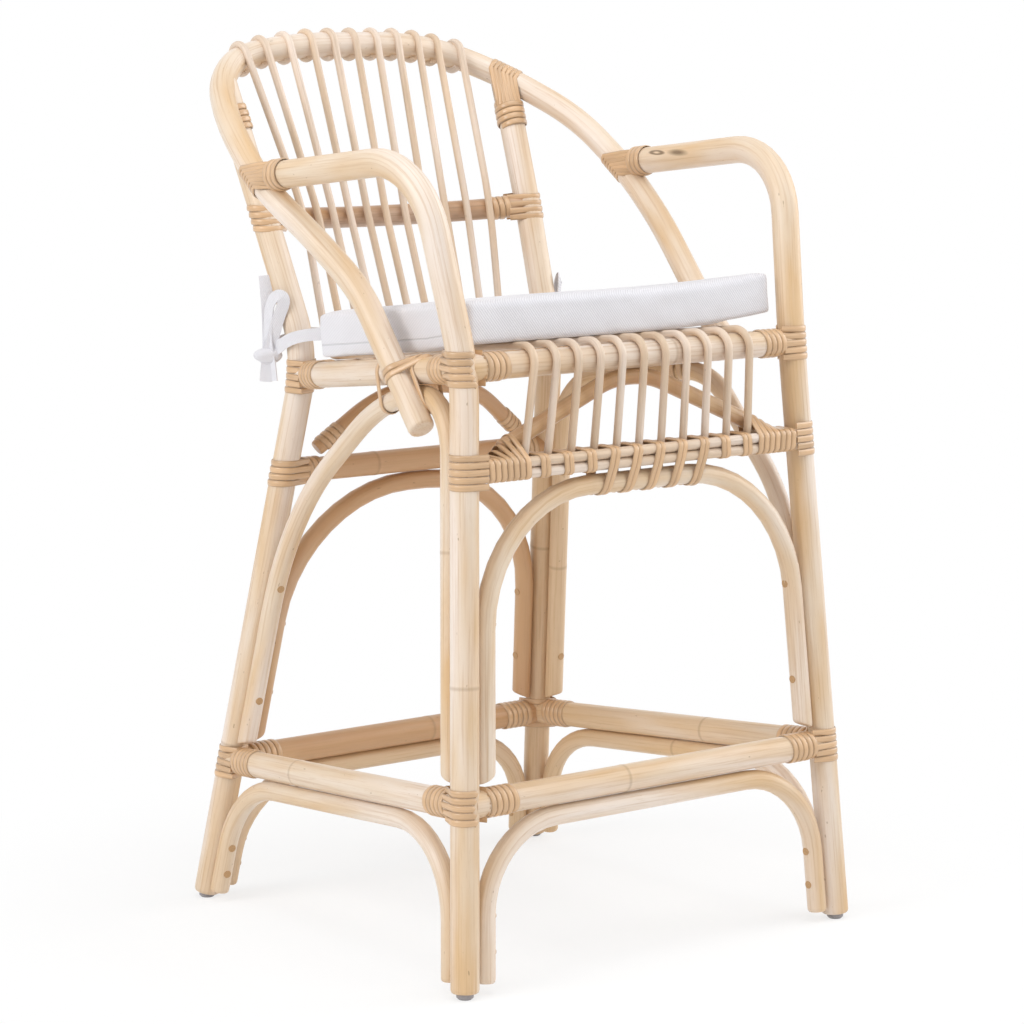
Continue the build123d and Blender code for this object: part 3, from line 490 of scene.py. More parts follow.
def stained(tree, base, stain, mask, span, strength=(0.0, 1.0)):
    """Colour under a stain, whose strength goes from one value to another over a span of a mask."""
    share = add_node(tree, "ShaderNodeMapRange", {
        "Value": mask, "From Min": span[0], "From Max": span[1],
        "To Min": strength[0], "To Max": strength[1],
    }).outputs["Result"]
    return add_node(tree, "ShaderNodeMix", {0: share, 6: base, 7: stain}, data_type="RGBA").outputs[2]


def rattan(name, pale, honey, streak, bleach=0.75):
    """Peeled, sanded and lacquered rattan pole: pale skin with long fibre streaks, soft honey patches,
    brown rings at the growth nodes, a satin gloss, and painted shade low down at the back and the right."""
    if name in bpy.data.materials:
        return bpy.data.materials[name]
    material, tree, output = new_material(name)
    grain = add_node(tree, "ShaderNodeAttribute", attribute_name="grain").outputs["Vector"]
    knot = add_node(tree, "ShaderNodeAttribute", attribute_name="knot").outputs["Fac"]
    place = add_node(tree, "ShaderNodeTexCoord").outputs["Object"]

    def spots(width, run, detail):
        """Noise whose spots are a width round the pole and a run along it, in metres."""
        scale = (1 / width, 1 / width, 1 / run)
        mapped = add_node(tree, "ShaderNodeMapping", {"Vector": grain, "Scale": scale}).outputs["Vector"]
        inputs = {"Vector": mapped, "Scale": 1.0, "Detail": detail, "Roughness": 0.55}
        return add_node(tree, "ShaderNodeTexNoise", inputs).outputs["Fac"]

    def distance_from(centre, half_sizes):
        """Distance from a place on the stool, counted in half sizes of a mark there, in millimetres."""
        value = place
        for operation, other in (("SUBTRACT", centre), ("DIVIDE", Vector(half_sizes) * MM)):
            inputs = {0: value, 1: other}
            value = add_node(tree, "ShaderNodeVectorMath", inputs, operation=operation).outputs["Vector"]
        return add_node(tree, "ShaderNodeVectorMath", {0: value}, operation="LENGTH").outputs["Value"]

    # Painted shade: the poles are tinted honey low down at the back and the right, for the warm shade under
    # the seat
    parts = add_node(tree, "ShaderNodeSeparateXYZ", {"Vector": place})
    painted_shade = 0.75
    for axis, start, end in (("Y", -0.10, 0.12), ("Z", 0.64, 0.56), ("X", -0.19, -0.13)):
        reach = {"Value": parts.outputs[axis], "From Min": start, "From Max": end}
        share = add_node(tree, "ShaderNodeMapRange", reach).outputs["Result"]
        both = {0: painted_shade, 1: share}
        painted_shade = add_node(tree, "ShaderNodeMath", both, operation="MULTIPLY").outputs["Value"]
    fibres = spots(0.0024, 0.120, 3)
    pores = spots(0.0011, 0.018, 2)
    dark = rgba(streak, 0.62)
    base = rgba(pale)
    for stain, mask, span, strength in (
        (rgba(honey), spots(0.030, 0.170, 2), (0.36, 0.66), 1.0),
        (rgba(bpy.context.scene.stool_colours.bleached), spots(0.042, 0.300, 2), (0.46, 0.66), bleach),
        # Painted shade: honey tint low down at the back and the right
        (rgba(honey), painted_shade, (0.0, 1.0), 1.0),
        (rgba(streak), fibres, (0.50, 0.80), 0.62),
        (rgba(streak), pores, (0.60, 0.80), 0.32),
        (dark, knot, (0.15, 1.0), 0.34),
        (dark, spots(0.0042, 0.0100, 1), (0.765, 0.80), 0.55),
    ):
        base = stained(tree, base, stain, mask, span, (0.0, strength))
    # Ring-shaped scar of a leaf on the right arm, about 22 mm long, and nicks beside it and on the right leg
    scar = distance_from(at(239, 29, 836), (7, 15.8, 2.9))
    rim = add_node(tree, "ShaderNodeMath", {0: scar, 1: 0.7}, operation="SUBTRACT").outputs["Value"]
    rim = add_node(tree, "ShaderNodeMath", {0: rim}, operation="ABSOLUTE").outputs["Value"]
    for mask, span in (
        (rim, (0.12, 0.40)),
        (distance_from(at(237, -9, 837.5), (7, 21.6, 4.4)), (0.35, 1.0)),
        (distance_from(at(218, -227, 714), (2.2, 21.6, 3.8)), (0.35, 1.0)),
    ):
        base = stained(tree, base, rgba(streak, 0.3), mask, span, (0.85, 0.0))
    height = add_node(tree, "ShaderNodeMath", {0: fibres, 1: pores}, operation="ADD").outputs["Value"]
    bump = add_node(tree, "ShaderNodeBump", {"Height": height, "Strength": 0.22, "Distance": 0.0006})
    rough = add_node(tree, "ShaderNodeMapRange", {
        "Value": pores, "From Min": 0.3, "From Max": 0.7, "To Min": 0.34, "To Max": 0.50,
    })
    shader = add_node(tree, "ShaderNodeBsdfPrincipled", {
        "Base Color": base,
        "Roughness": rough.outputs["Result"],
        "Normal": bump.outputs["Normal"],
        "IOR": 1.45,
        "Coat Weight": 0.25,
        "Coat Roughness": 0.28,
    })
    tree.links.new(shader.outputs["BSDF"], output.inputs["Surface"])
    return material


def binding_cane():
    """Split cane, the shiny outer skin of rattan: tan strips with fine lengthwise lines,
    and painted shade along their edges.
    """
    if "split cane" in bpy.data.materials:
        return bpy.data.materials["split cane"]
    c = bpy.context.scene.stool_colours
    material, tree, output = new_material("split cane")
    strip = add_node(tree, "ShaderNodeAttribute", attribute_name="strip").outputs["Vector"]
    parts = add_node(tree, "ShaderNodeSeparateXYZ", {"Vector": strip})
    edge = add_node(tree, "ShaderNodeMath", {0: parts.outputs["X"]}, operation="ABSOLUTE").outputs["Value"]
    # Lines about 0.6 mm apart across the strip and 40 mm long, and a tone that changes every 110 mm
    noises = []
    for scale, detail in (((3.5, 0.0, 25.0), 3.0), ((0.0, 0.0, 9.0), 1.0)):
        mapped = add_node(tree, "ShaderNodeMapping", {"Vector": strip, "Scale": scale}).outputs["Vector"]
        inputs = {"Vector": mapped, "Scale": 1.0, "Detail": detail}
        noises.append(add_node(tree, "ShaderNodeTexNoise", inputs).outputs["Fac"])
    lines, tone = noises
    base = stained(tree, rgba(c.cane, 0.86), rgba(c.cane, 1.08), tone, (0.34, 0.66))
    base = stained(tree, base, BLACK, lines, (0.45, 0.75), (0.0, 0.18))
    # Painted shade along both edges of each strip, where the strips meet
    base = stained(tree, base, rgba(c.cane, 0.42), edge, (0.60, 1.0), (0.0, 0.45))
    bump = add_node(tree, "ShaderNodeBump", {"Height": lines, "Strength": 0.2, "Distance": 0.0004})
    shader = add_node(tree, "ShaderNodeBsdfPrincipled", {
        "Base Color": base,
        "Roughness": 0.30,
        "Normal": bump.outputs["Normal"],
        "IOR": 1.47,
        "Coat Weight": 0.4,
        "Coat Roughness": 0.16,
    })
    tree.links.new(shader.outputs["BSDF"], output.inputs["Surface"])
    return material


def cotton_twill():
    """Bleached cotton twill: off-white cloth with diagonal ribs, slight slubs, a sewn line and a sheen,
    with painted shade in the ribs' grooves and in the sewn line's crease.
    """
    if "cotton twill" in bpy.data.materials:
        return bpy.data.materials["cotton twill"]
    c = bpy.context.scene.stool_colours
    s = bpy.context.scene.stool_cushion
    material, tree, output = new_material("cotton twill")
    place = add_node(tree, "ShaderNodeTexCoord").outputs["Object"]
    # Twill is finer than a pixel in the render, so its ribs are drawn about twice as wide as real ones
    spin = (0.0, math.radians(40), math.radians(38))
    turned = add_node(tree, "ShaderNodeMapping", {"Vector": place, "Rotation": spin}).outputs["Vector"]
    ribs = add_node(tree, "ShaderNodeTexWave", {
        "Vector": turned, "Scale": math.pi / (10 * s.twill),
        "Distortion": 0.6, "Detail": 1.0, "Detail Scale": 2.0,
    }).outputs["Fac"]
    # Slubs of 2.4 mm in the yarn, and clouds of 70 mm where the bleach has taken unevenly
    slubs, clouds = (
        add_node(tree, "ShaderNodeTexNoise", {"Vector": place, "Scale": scale, "Detail": 2.0}).outputs["Fac"]
        for scale in (420.0, 14.0)
    )
    up = add_node(tree, "ShaderNodeAttribute", attribute_name="up").outputs["Fac"]
    off = add_node(tree, "ShaderNodeMath", {0: up, 1: s.seam}, operation="SUBTRACT").outputs["Value"]
    gap = add_node(tree, "ShaderNodeMath", {0: off}, operation="ABSOLUTE").outputs["Value"]
    sewn = add_node(tree, "ShaderNodeMapRange", {
        "Value": gap, "From Min": 0.0003, "From Max": 0.0013, "To Min": 1.0, "To Max": 0.0,
    }).outputs["Result"]
    base = stained(tree, rgba(c.cotton, 0.95), rgba(c.cotton), clouds, (0.3, 0.7))
    # Painted shade in the grooves between the twill's ribs
    base = stained(tree, base, BLACK, ribs, (0.0, 1.0), (0.16, 0.0))
    # Painted shade in the crease of the sewn line
    base = stained(tree, base, rgba(c.cotton, 0.45), sewn, (0.0, 1.0), (0.0, 0.35))
    cloth = add_node(tree, "ShaderNodeMath", {0: ribs, 1: slubs}, operation="ADD").outputs["Value"]
    dent = add_node(tree, "ShaderNodeMath", {0: sewn, 1: -2.5, 2: cloth}, operation="MULTIPLY_ADD")
    bump = add_node(tree, "ShaderNodeBump", {
        "Height": dent.outputs["Value"], "Strength": 0.35, "Distance": 0.0006,
    })
    shader = add_node(tree, "ShaderNodeBsdfPrincipled", {
        "Base Color": base,
        "Roughness": 0.92,
        "Normal": bump.outputs["Normal"],
        "Specular IOR Level": 0.2,
        "Sheen Weight": 0.2,
        "Sheen Roughness": 0.5,
    })
    tree.links.new(shader.outputs["BSDF"], output.inputs["Surface"])
    return material


def plain_finish(name, tone, roughness, spot_size, depth):
    """Small turned or moulded fittings: one tone that varies in fine spots, with a slight grain to touch."""
    material, tree, output = new_material(name)
    place = add_node(tree, "ShaderNodeTexCoord").outputs["Object"]
    inputs = {"Vector": place, "Scale": 1 / spot_size, "Detail": 3.0}
    spots = add_node(tree, "ShaderNodeTexNoise", inputs).outputs["Fac"]
    bump = add_node(tree, "ShaderNodeBump", {"Height": spots, "Strength": 0.3, "Distance": depth})
    shader = add_node(tree, "ShaderNodeBsdfPrincipled", {
        "Base Color": stained(tree, rgba(tone, 0.72), rgba(tone), spots, (0.3, 0.7)),
        "Roughness": roughness,
        "Normal": bump.outputs["Normal"],
    })
    tree.links.new(shader.outputs["BSDF"], output.inputs["Surface"])
    return material


# Poles
# Growth nodes: how far the swelling reaches, how thick it is and how wide its brown ring is
NODE_REACH = 0.006
NODE_SWELL = 1.022
NODE_RING = 0.0022
# Stretch of a limb that is cut at a slant at its end
MITRE_RUN = 0.016


def with_growth_nodes(stops, rng, spacing):
    """Stops with a slight swelling at each growth node on the straight runs, and the nodes' places."""
    out = []
    nodes = []
    shortest_run = 0.03
    end_gap = 0.002
    for i, (point, handle_in, handle_out) in enumerate(stops):
        out.append([point, handle_in, handle_out, 1.0])
        if i + 1 == len(stops):
            break
        after = stops[i + 1][0]
        run = after - point
        way = run.normalized()
        straight = (handle_out - point).cross(run).length < 1e-6 * max(run.length, 1e-6)
        count = int(run.length / spacing + rng.uniform(0.0, 0.6)) if straight else 0
        if run.length < shortest_run:
            count = 0
        marks = []
        for k in range(count):
            place = run.length * (k + rng.uniform(0.3, 0.7)) / count
            nodes.append(point + way * place)
            marks += [(place - NODE_REACH, 1.0), (place, NODE_SWELL), (place + NODE_REACH, 1.0)]
        marks = [(place, radius) for place, radius in marks if end_gap < place < run.length - end_gap]
        if not marks:
            continue
        spots = [0.0] + [place for place, _ in marks] + [run.length]
        out[-1][2] = point + way * (spots[1] / 3)
        for k, (place, radius) in enumerate(marks, 1):
            here = point + way * place
            before = way * ((place - spots[k - 1]) / 3)
            onward = way * ((spots[k + 1] - place) / 3)
            out.append([here, here - before, here + onward, radius])
        last = way * ((run.length - spots[-2]) / 3)
        stops[i + 1] = (after, after - last, stops[i + 1][2])
    return out, nodes


def eased_ends(stations):
    """Stations with both ends of the pole sanded round."""
    sanded = ((0.0, 0.86), (0.0012, 0.955), (0.0036, 1.0))
    handle = 0.0005
    ends = []
    for end, inner_handle in ((stations[0], 2), (stations[-1], 1)):
        way = (end[inner_handle] - end[0]).normalized()
        steps = []
        for run, radius in sanded:
            spot = end[0] + way * run
            steps.append([spot, spot - way * handle, spot + way * handle, radius])
        ends.append(steps)
    first, last = ends
    last = [[spot, after, before, radius] for spot, before, after, radius in reversed(last)]
    return first + stations[1:-1] + last


def bent_pole(name, stations, diameter, facets):
    """Round mesh along stations, each a point with its two handles and its share of the thickness."""
    bpy.ops.object.select_all(action="DESELECT")
    bpy.ops.curve.primitive_bezier_curve_add(location=(0, 0, 0))
    obj = bpy.context.object
    obj.name = name
    curve = obj.data
    curve.dimensions = "3D"
    spline = curve.splines[0]
    spline.bezier_points.add(len(stations) - 2)
    for bezier, (point, handle_in, handle_out, radius) in zip(spline.bezier_points, stations):
        bezier.handle_left_type = "FREE"
        bezier.handle_right_type = "FREE"
        bezier.co = point
        bezier.handle_left = handle_in
        bezier.handle_right = handle_out
        bezier.radius = radius
    spline.radius_interpolation = "EASE"
    curve.resolution_u = 10
    curve.bevel_depth = diameter / 2
    curve.bevel_resolution = facets
    curve.use_fill_caps = True
    bpy.ops.object.convert(target="MESH")
    return bpy.context.object


def pole(name, stops, diameter, material, nodes, spacing=0.42, facets=8, round_ends=False, mitre=0.0):
    """Bend a rattan pole along a route and mark its grain, so that streaks follow the bends."""
    rng = random.Random(name)
    stations, growth = with_growth_nodes(list(stops), rng, spacing)
    if round_ends:
        stations = eased_ends(stations)
    obj = bent_pole(name, stations, diameter, facets)
    mesh = obj.data

    # The two end caps come first in the mesh, then the rings along the pole
    around = 2 * facets + 4
    points = [v.co.copy() for v in mesh.vertices]
    rings = [points[i:i + around] for i in range(2 * around, len(points), around)]
    centres = [sum(ring, Vector()) / around for ring in rings]
    runs = [rng.uniform(0, 8)]
    for a, b in zip(centres, centres[1:]):
        runs.append(runs[-1] + (b - a).length)
    rings_of = [len(rings) - 1] * around + [0] * around
    rings_of += [i for i in range(len(rings)) for _ in range(around)]
    if mitre:
        inward = (centres[-1] - centres[0]).normalized()
        for v, ring in zip(mesh.vertices, rings_of):
            for run, way, end, following in (
                (runs[ring] - runs[0], inward, 0, 1),
                (runs[-1] - runs[ring], -inward, -1, -2),
            ):
                if run < MITRE_RUN:
                    onward = (centres[following] - centres[end]).normalized()
                    slant = mitre * (1 - run / MITRE_RUN)
                    v.co += onward * ((v.co - centres[ring]).dot(way) * slant)
    near = []
    for c in centres:
        near.append(max([math.exp(-(((c - g).length / NODE_RING) ** 2)) for g in growth], default=0.0))
    grain = []
    for i, ring in enumerate(rings_of):
        angle = 2 * math.pi * (i % around) / around
        grain += [diameter / 2 * math.cos(angle), diameter / 2 * math.sin(angle), runs[ring]]
    knot = [near[ring] for ring in rings_of]
    mesh.attributes.new("grain", "FLOAT_VECTOR", "POINT").data.foreach_set("vector", grain)
    mesh.attributes.new("knot", "FLOAT", "POINT").data.foreach_set("value", knot)
    close_mesh(obj)
    finish_piece(obj, material, nodes)


def new_piece(name, verts, faces):
    """Mesh object of points and faces."""
    mesh = bpy.data.meshes.new(name)
    mesh.from_pydata(verts, [], faces)
    obj = bpy.data.objects.new(name, mesh)
    bpy.context.collection.objects.link(obj)
    return obj


def close_mesh(obj, smooth_angle=40, merge=True):
    """Merge the seams of a piece, turn its faces outwards and shade it smooth."""
    bpy.ops.object.select_all(action="DESELECT")
    obj.select_set(True)
    bpy.context.view_layer.objects.active = obj
    bpy.ops.object.mode_set(mode="EDIT")
    bpy.ops.mesh.select_all(action="SELECT")
    if merge:
        bpy.ops.mesh.remove_doubles(threshold=1e-5)
    bpy.ops.mesh.normals_make_consistent(inside=False)
    bpy.ops.object.mode_set(mode="OBJECT")
    bpy.ops.object.shade_smooth_by_angle(angle=math.radians(smooth_angle))


def finish_piece(obj, material, nodes, body="frame"):
    """Give a piece its material and place it on the frame."""
    obj.data.materials.clear()
    obj.data.materials.append(material)
    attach(obj, body)
    if nodes:
        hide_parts(*nodes)


# Cane strips
class Binding:
    """Cane strips of one group of joints, gathered in one mesh."""

    def __init__(self, name):
        self.name = name
        self.sizes = bpy.context.scene.stool_cane
        self.rng = random.Random(name)
        self.verts = []
        self.faces = []
        self.marks = []

    def lay(self, points, normals, closed=False, width=1.0, lift=0.0):
        """Lay one domed strip along points on a surface with the given outward normals."""
        half = self.sizes.width / 2 * width
        thick = self.sizes.thickness
        section = [(-1.0, 0.0), (-0.88, 0.62), (-0.42, 0.96), (0.42, 0.96), (0.88, 0.62), (1.0, 0.0)]
        count = len(points)
        start = len(self.verts)
        run = self.rng.uniform(0, 9)
        for i, (point, normal) in enumerate(zip(points, normals)):
            before = points[i - 1] if closed or i else point
            after = points[(i + 1) % count] if closed or i + 1 < count else point
            along = (after - before).normalized()
            aside = along.cross(normal).normalized()
            up = aside.cross(along)
            for x, z in section:
                self.verts.append(point + aside * (half * x) + up * (thick * z + lift))
                self.marks.append((x, z, run))
            run += (after - point).length
        size = len(section)
        for i in range(count if closed else count - 1):
            a = start + i * size
            b = start + (i + 1) % count * size
            for j in range(size):
                k = (j + 1) % size
                self.faces.append((a + j, a + k, b + k, b + j))
        if not closed:
            end = start + (count - 1) * size
            self.faces.append(tuple(range(start, start + size))[::-1])
            self.faces.append(tuple(range(end, end + size)))

    def coil(self, start, axis, radius, turns, phase, lift=0.0):
        """Wind a strip round a pole, with its ends tucked under."""
        axis = axis.normalized()
        out = across(phase, axis)
        way = axis.cross(out)
        steps = 28
        tuck_steps = 5
        points = []
        normals = []
        total = int(turns * steps)
        for i in range(total + 1):
            angle = 2 * math.pi * i / steps
            normal = out * math.cos(angle) + way * math.sin(angle)
            tuck = min(1.0, i / tuck_steps, (total - i) / tuck_steps)
            rise = radius + lift - (1 - tuck) * self.sizes.thickness * 1.1
            points.append(start + axis * (self.sizes.step * i / steps) + normal * rise)
            normals.append(normal)
        self.lay(points, normals)

    def spiral(self, outlines, aside, up, width=1.0, lean=0.0):
        """Wind a strip round a bundle, one outline of flat points a turn, each with its own middle."""
        points = []
        normals = []
        for turn, (middle, outline) in enumerate(outlines[:-1]):
            after_middle, after = outlines[turn + 1]
            for i, (x, z) in enumerate(outline):
                share = i / len(outline)
                x += (after[i][0] - x) * share
                z += (after[i][1] - z) * share
                leaning = aside.cross(up) * (lean * z)
                points.append(middle.lerp(after_middle, share) + aside * x + up * z + leaning)
                a, b = outline[i - 1], outline[(i + 1) % len(outline)]
                normals.append((aside * (b[1] - a[1]) - up * (b[0] - a[0])).normalized())
        self.lay(points, normals, width=width)

    def band(self, middle, normal, poles, lift=0.0, width=1.0, reach=0.050):
        """Close a strip round several poles, in the plane through a point with a normal."""
        normal = normal.normalized()
        u = across(Vector((0.31, 0.17, 0.93)), normal)
        v = normal.cross(u)
        spots = []
        for point, axis, radius in poles:
            axis = axis.normalized()
            e1 = across(Vector((0.47, 0.81, 0.33)), axis)
            e2 = axis.cross(e1)
            # A pole that lies nearly in the plane has no section there
            if abs(axis.dot(normal)) < 0.2:
                continue
            for i in range(36):
                angle = math.pi * i / 18
                q = point + (e1 * math.cos(angle) + e2 * math.sin(angle)) * (radius + 0.15 * MM)
                q = q + axis * ((middle - q).dot(normal) / axis.dot(normal)) - middle
                if q.length < reach:
                    spots.append((q.dot(u), q.dot(v)))
        outline = resample(hull(spots), 48)
        points = []
        normals = []
        for i, (x, y) in enumerate(outline):
            a, b = outline[i - 1], outline[(i + 1) % len(outline)]
            points.append(middle + u * x + v * y)
            normals.append((u * (b[1] - a[1]) - v * (b[0] - a[0])).normalized())
        self.lay(points, normals, closed=True, lift=lift, width=width)

    def corner(self, middle, ways, reaches, radius):
        """Lay a strip round the outside of a leg, from one rail to the other or back to the same rail."""
        flat = [Vector((w.x, w.y)).normalized() for w in ways]
        if len(ways) > 1:
            ends = []
            for this, other, (run, half) in zip(flat, reversed(flat), reaches):
                away = this * this.dot(other) - other
                ends.append(this * run + away.normalized() * half)
            falls = [w.normalized().z * run for w, (run, _) in zip(ways, reaches)]
        else:
            run, half = reaches[0]
            turned = Vector((-flat[0].y, flat[0].x))
            ends = [flat[0] * run + turned * half, flat[0] * run - turned * half]
            falls = [ways[0].normalized().z * run] * 2
        ring = hull(circle(0, 0, radius, 48) + [tuple(e) for e in ends])
        first = min(range(len(ring)), key=lambda i: (Vector(ring[i]) - ends[0]).length)
        ring = ring[first:] + ring[:first]
        if (Vector(ring[1]) - ends[1]).length < 1e-9:
            ring = [ring[0]] + ring[:0:-1]
            turn = -1
        else:
            turn = 1
        points = [middle + Vector((x, y, 0)) for x, y in ring]
        points[0].z += falls[0]
        points[-1].z += falls[1]
        fine = [points[0], points[0].lerp(points[1], 0.5)] + points[1:-1]
        fine += [points[-2].lerp(points[-1], 0.5), points[-1]]
        normals = []
        for i in range(len(fine)):
            way = fine[min(i + 1, len(fine) - 1)] - fine[max(i - 1, 0)]
            normals.append(Vector((way.y, -way.x, 0)).normalized() * turn)
        self.lay(fine, normals)

    def build(self, nodes):
        """Make the mesh of all strips and put it on the frame."""
        obj = new_piece(self.name, self.verts, self.faces)
        strip = obj.data.attributes.new("strip", "FLOAT_VECTOR", "POINT")
        strip.data.foreach_set("vector", [value for mark in self.marks for value in mark])
        close_mesh(obj, 55, merge=False)
        finish_piece(obj, binding_cane(), nodes)


def circle(x, y, radius, count):
    """Flat points round a circle."""
    angles = [2 * math.pi * i / count for i in range(count)]
    return [(x + radius * math.cos(a), y + radius * math.sin(a)) for a in angles]


def hull(spots):
    """Convex outline of flat points, turning to the left."""
    spots = sorted(set((round(x, 7), round(y, 7)) for x, y in spots))

    def half(points):
        kept = []
        for x, y in points:
            while len(kept) > 1:
                (x0, y0), (x1, y1) = kept[-2:]
                if (x1 - x0) * (y - y0) - (y1 - y0) * (x - x0) > 0:
                    break
                kept.pop()
            kept.append((x, y))
        return kept[:-1]

    return half(spots) + half(spots[::-1])


def resample(outline, count):
    """The same closed outline with a number of evenly spaced points."""
    ring = [Vector(p) for p in outline]
    ring.append(ring[0])
    runs = [0.0]
    for a, b in zip(ring, ring[1:]):
        runs.append(runs[-1] + (b - a).length)
    out = []
    k = 0
    for i in range(count):
        target = runs[-1] * i / count
        while runs[k + 1] < target:
            k += 1
        share = (target - runs[k]) / (runs[k + 1] - runs[k])
        out.append(tuple(ring[k].lerp(ring[k + 1], share)))
    return out


class STOOL_OT_poles(bpy.types.Operator):
    """Bend the legs, rails, arches, hoop, crossbar and small arches"""

    bl_idname = "rattan_stool.poles"
    bl_label = "Bend the poles"

    def execute(self, context):
        s = context.scene.stool_poles
        c = context.scene.stool_colours
        w = stool_lines()
        peeled = rattan("peeled rattan", c.pale, c.honey, c.streak)
        toned = rattan("honey rattan", c.honey, c.tan, c.streak, 0.2)
        smoked = rattan("smoked rattan", c.tan, [v * 0.8 for v in c.tan], [v * 0.55 for v in c.tan], 0.35)
        thick = {
            "front_leg": s.pole_d, "back_leg": s.pole_d, "back_hoop": s.hoop_d, "seat_rail": s.seat_rail_d,
            "foot_rail": s.foot_rail_d, "apron_rail": s.apron_rail_d, "back_crossbar": s.crossbar_d,
            "inner_arch": s.inner_arch_d,
        }
        # The arches are sanded down 0.35 mm all round, so that the plugs over their nails stand proud
        thick["lower_arch"] = thick["upper_arch"] = s.arch_d - 0.7 * MM
        # Painted shade: the poles low at the back and under the seat get the darker honey rattan, partly
        # their own tone and partly the shade there
        darker = ["apron_rail_back", "foot_rail_back", "upper_arch_back"]
        darker += ["inner_arch_back", "inner_arch_front"]
        for node, stops in w.routes.items():
            kind = next((k for k in thick if node.startswith(k)), None)
            if kind is None:
                continue
            material = smoked if node == "back_crossbar" else toned if node in darker else peeled
            free = kind in ("back_hoop", "lower_arch", "upper_arch", "inner_arch", "front_leg", "back_leg")
            slant = 0.5 if kind == "upper_arch" else 0.0
            pole(f"pole_{node}", stops, thick[kind], material, [node], round_ends=free, mitre=slant)
        return {"FINISHED"}


class STOOL_OT_slats(bpy.types.Operator):
    """Hook the slats round the hoop and lay the rods of the bundle"""

    bl_idname = "rattan_stool.slats"
    bl_label = "Lay the slats and rods"

    def execute(self, context):
        s = context.scene.stool_poles
        c = context.scene.stool_colours
        w = stool_lines()
        core = rattan("rattan core", c.slat, [v * 0.86 for v in c.slat], [v * 0.62 for v in c.slat])
        for node, stops in w.routes.items():
            if node.startswith("slat"):
                pole(f"pole_{node}", stops, s.slat_d, core, [node], spacing=9.0, facets=4)
        for number, (a, b) in enumerate(w.rods, 1):
            inset = (b - a).normalized() * s.pole_d * 0.3
            name = f"bundle_rod_{number}"
            stops = route([a + inset, b - inset], [])
            pole(name, stops, s.rod_d, core, ["apron_rods_front"], spacing=9.0, facets=5)
        return {"FINISHED"}


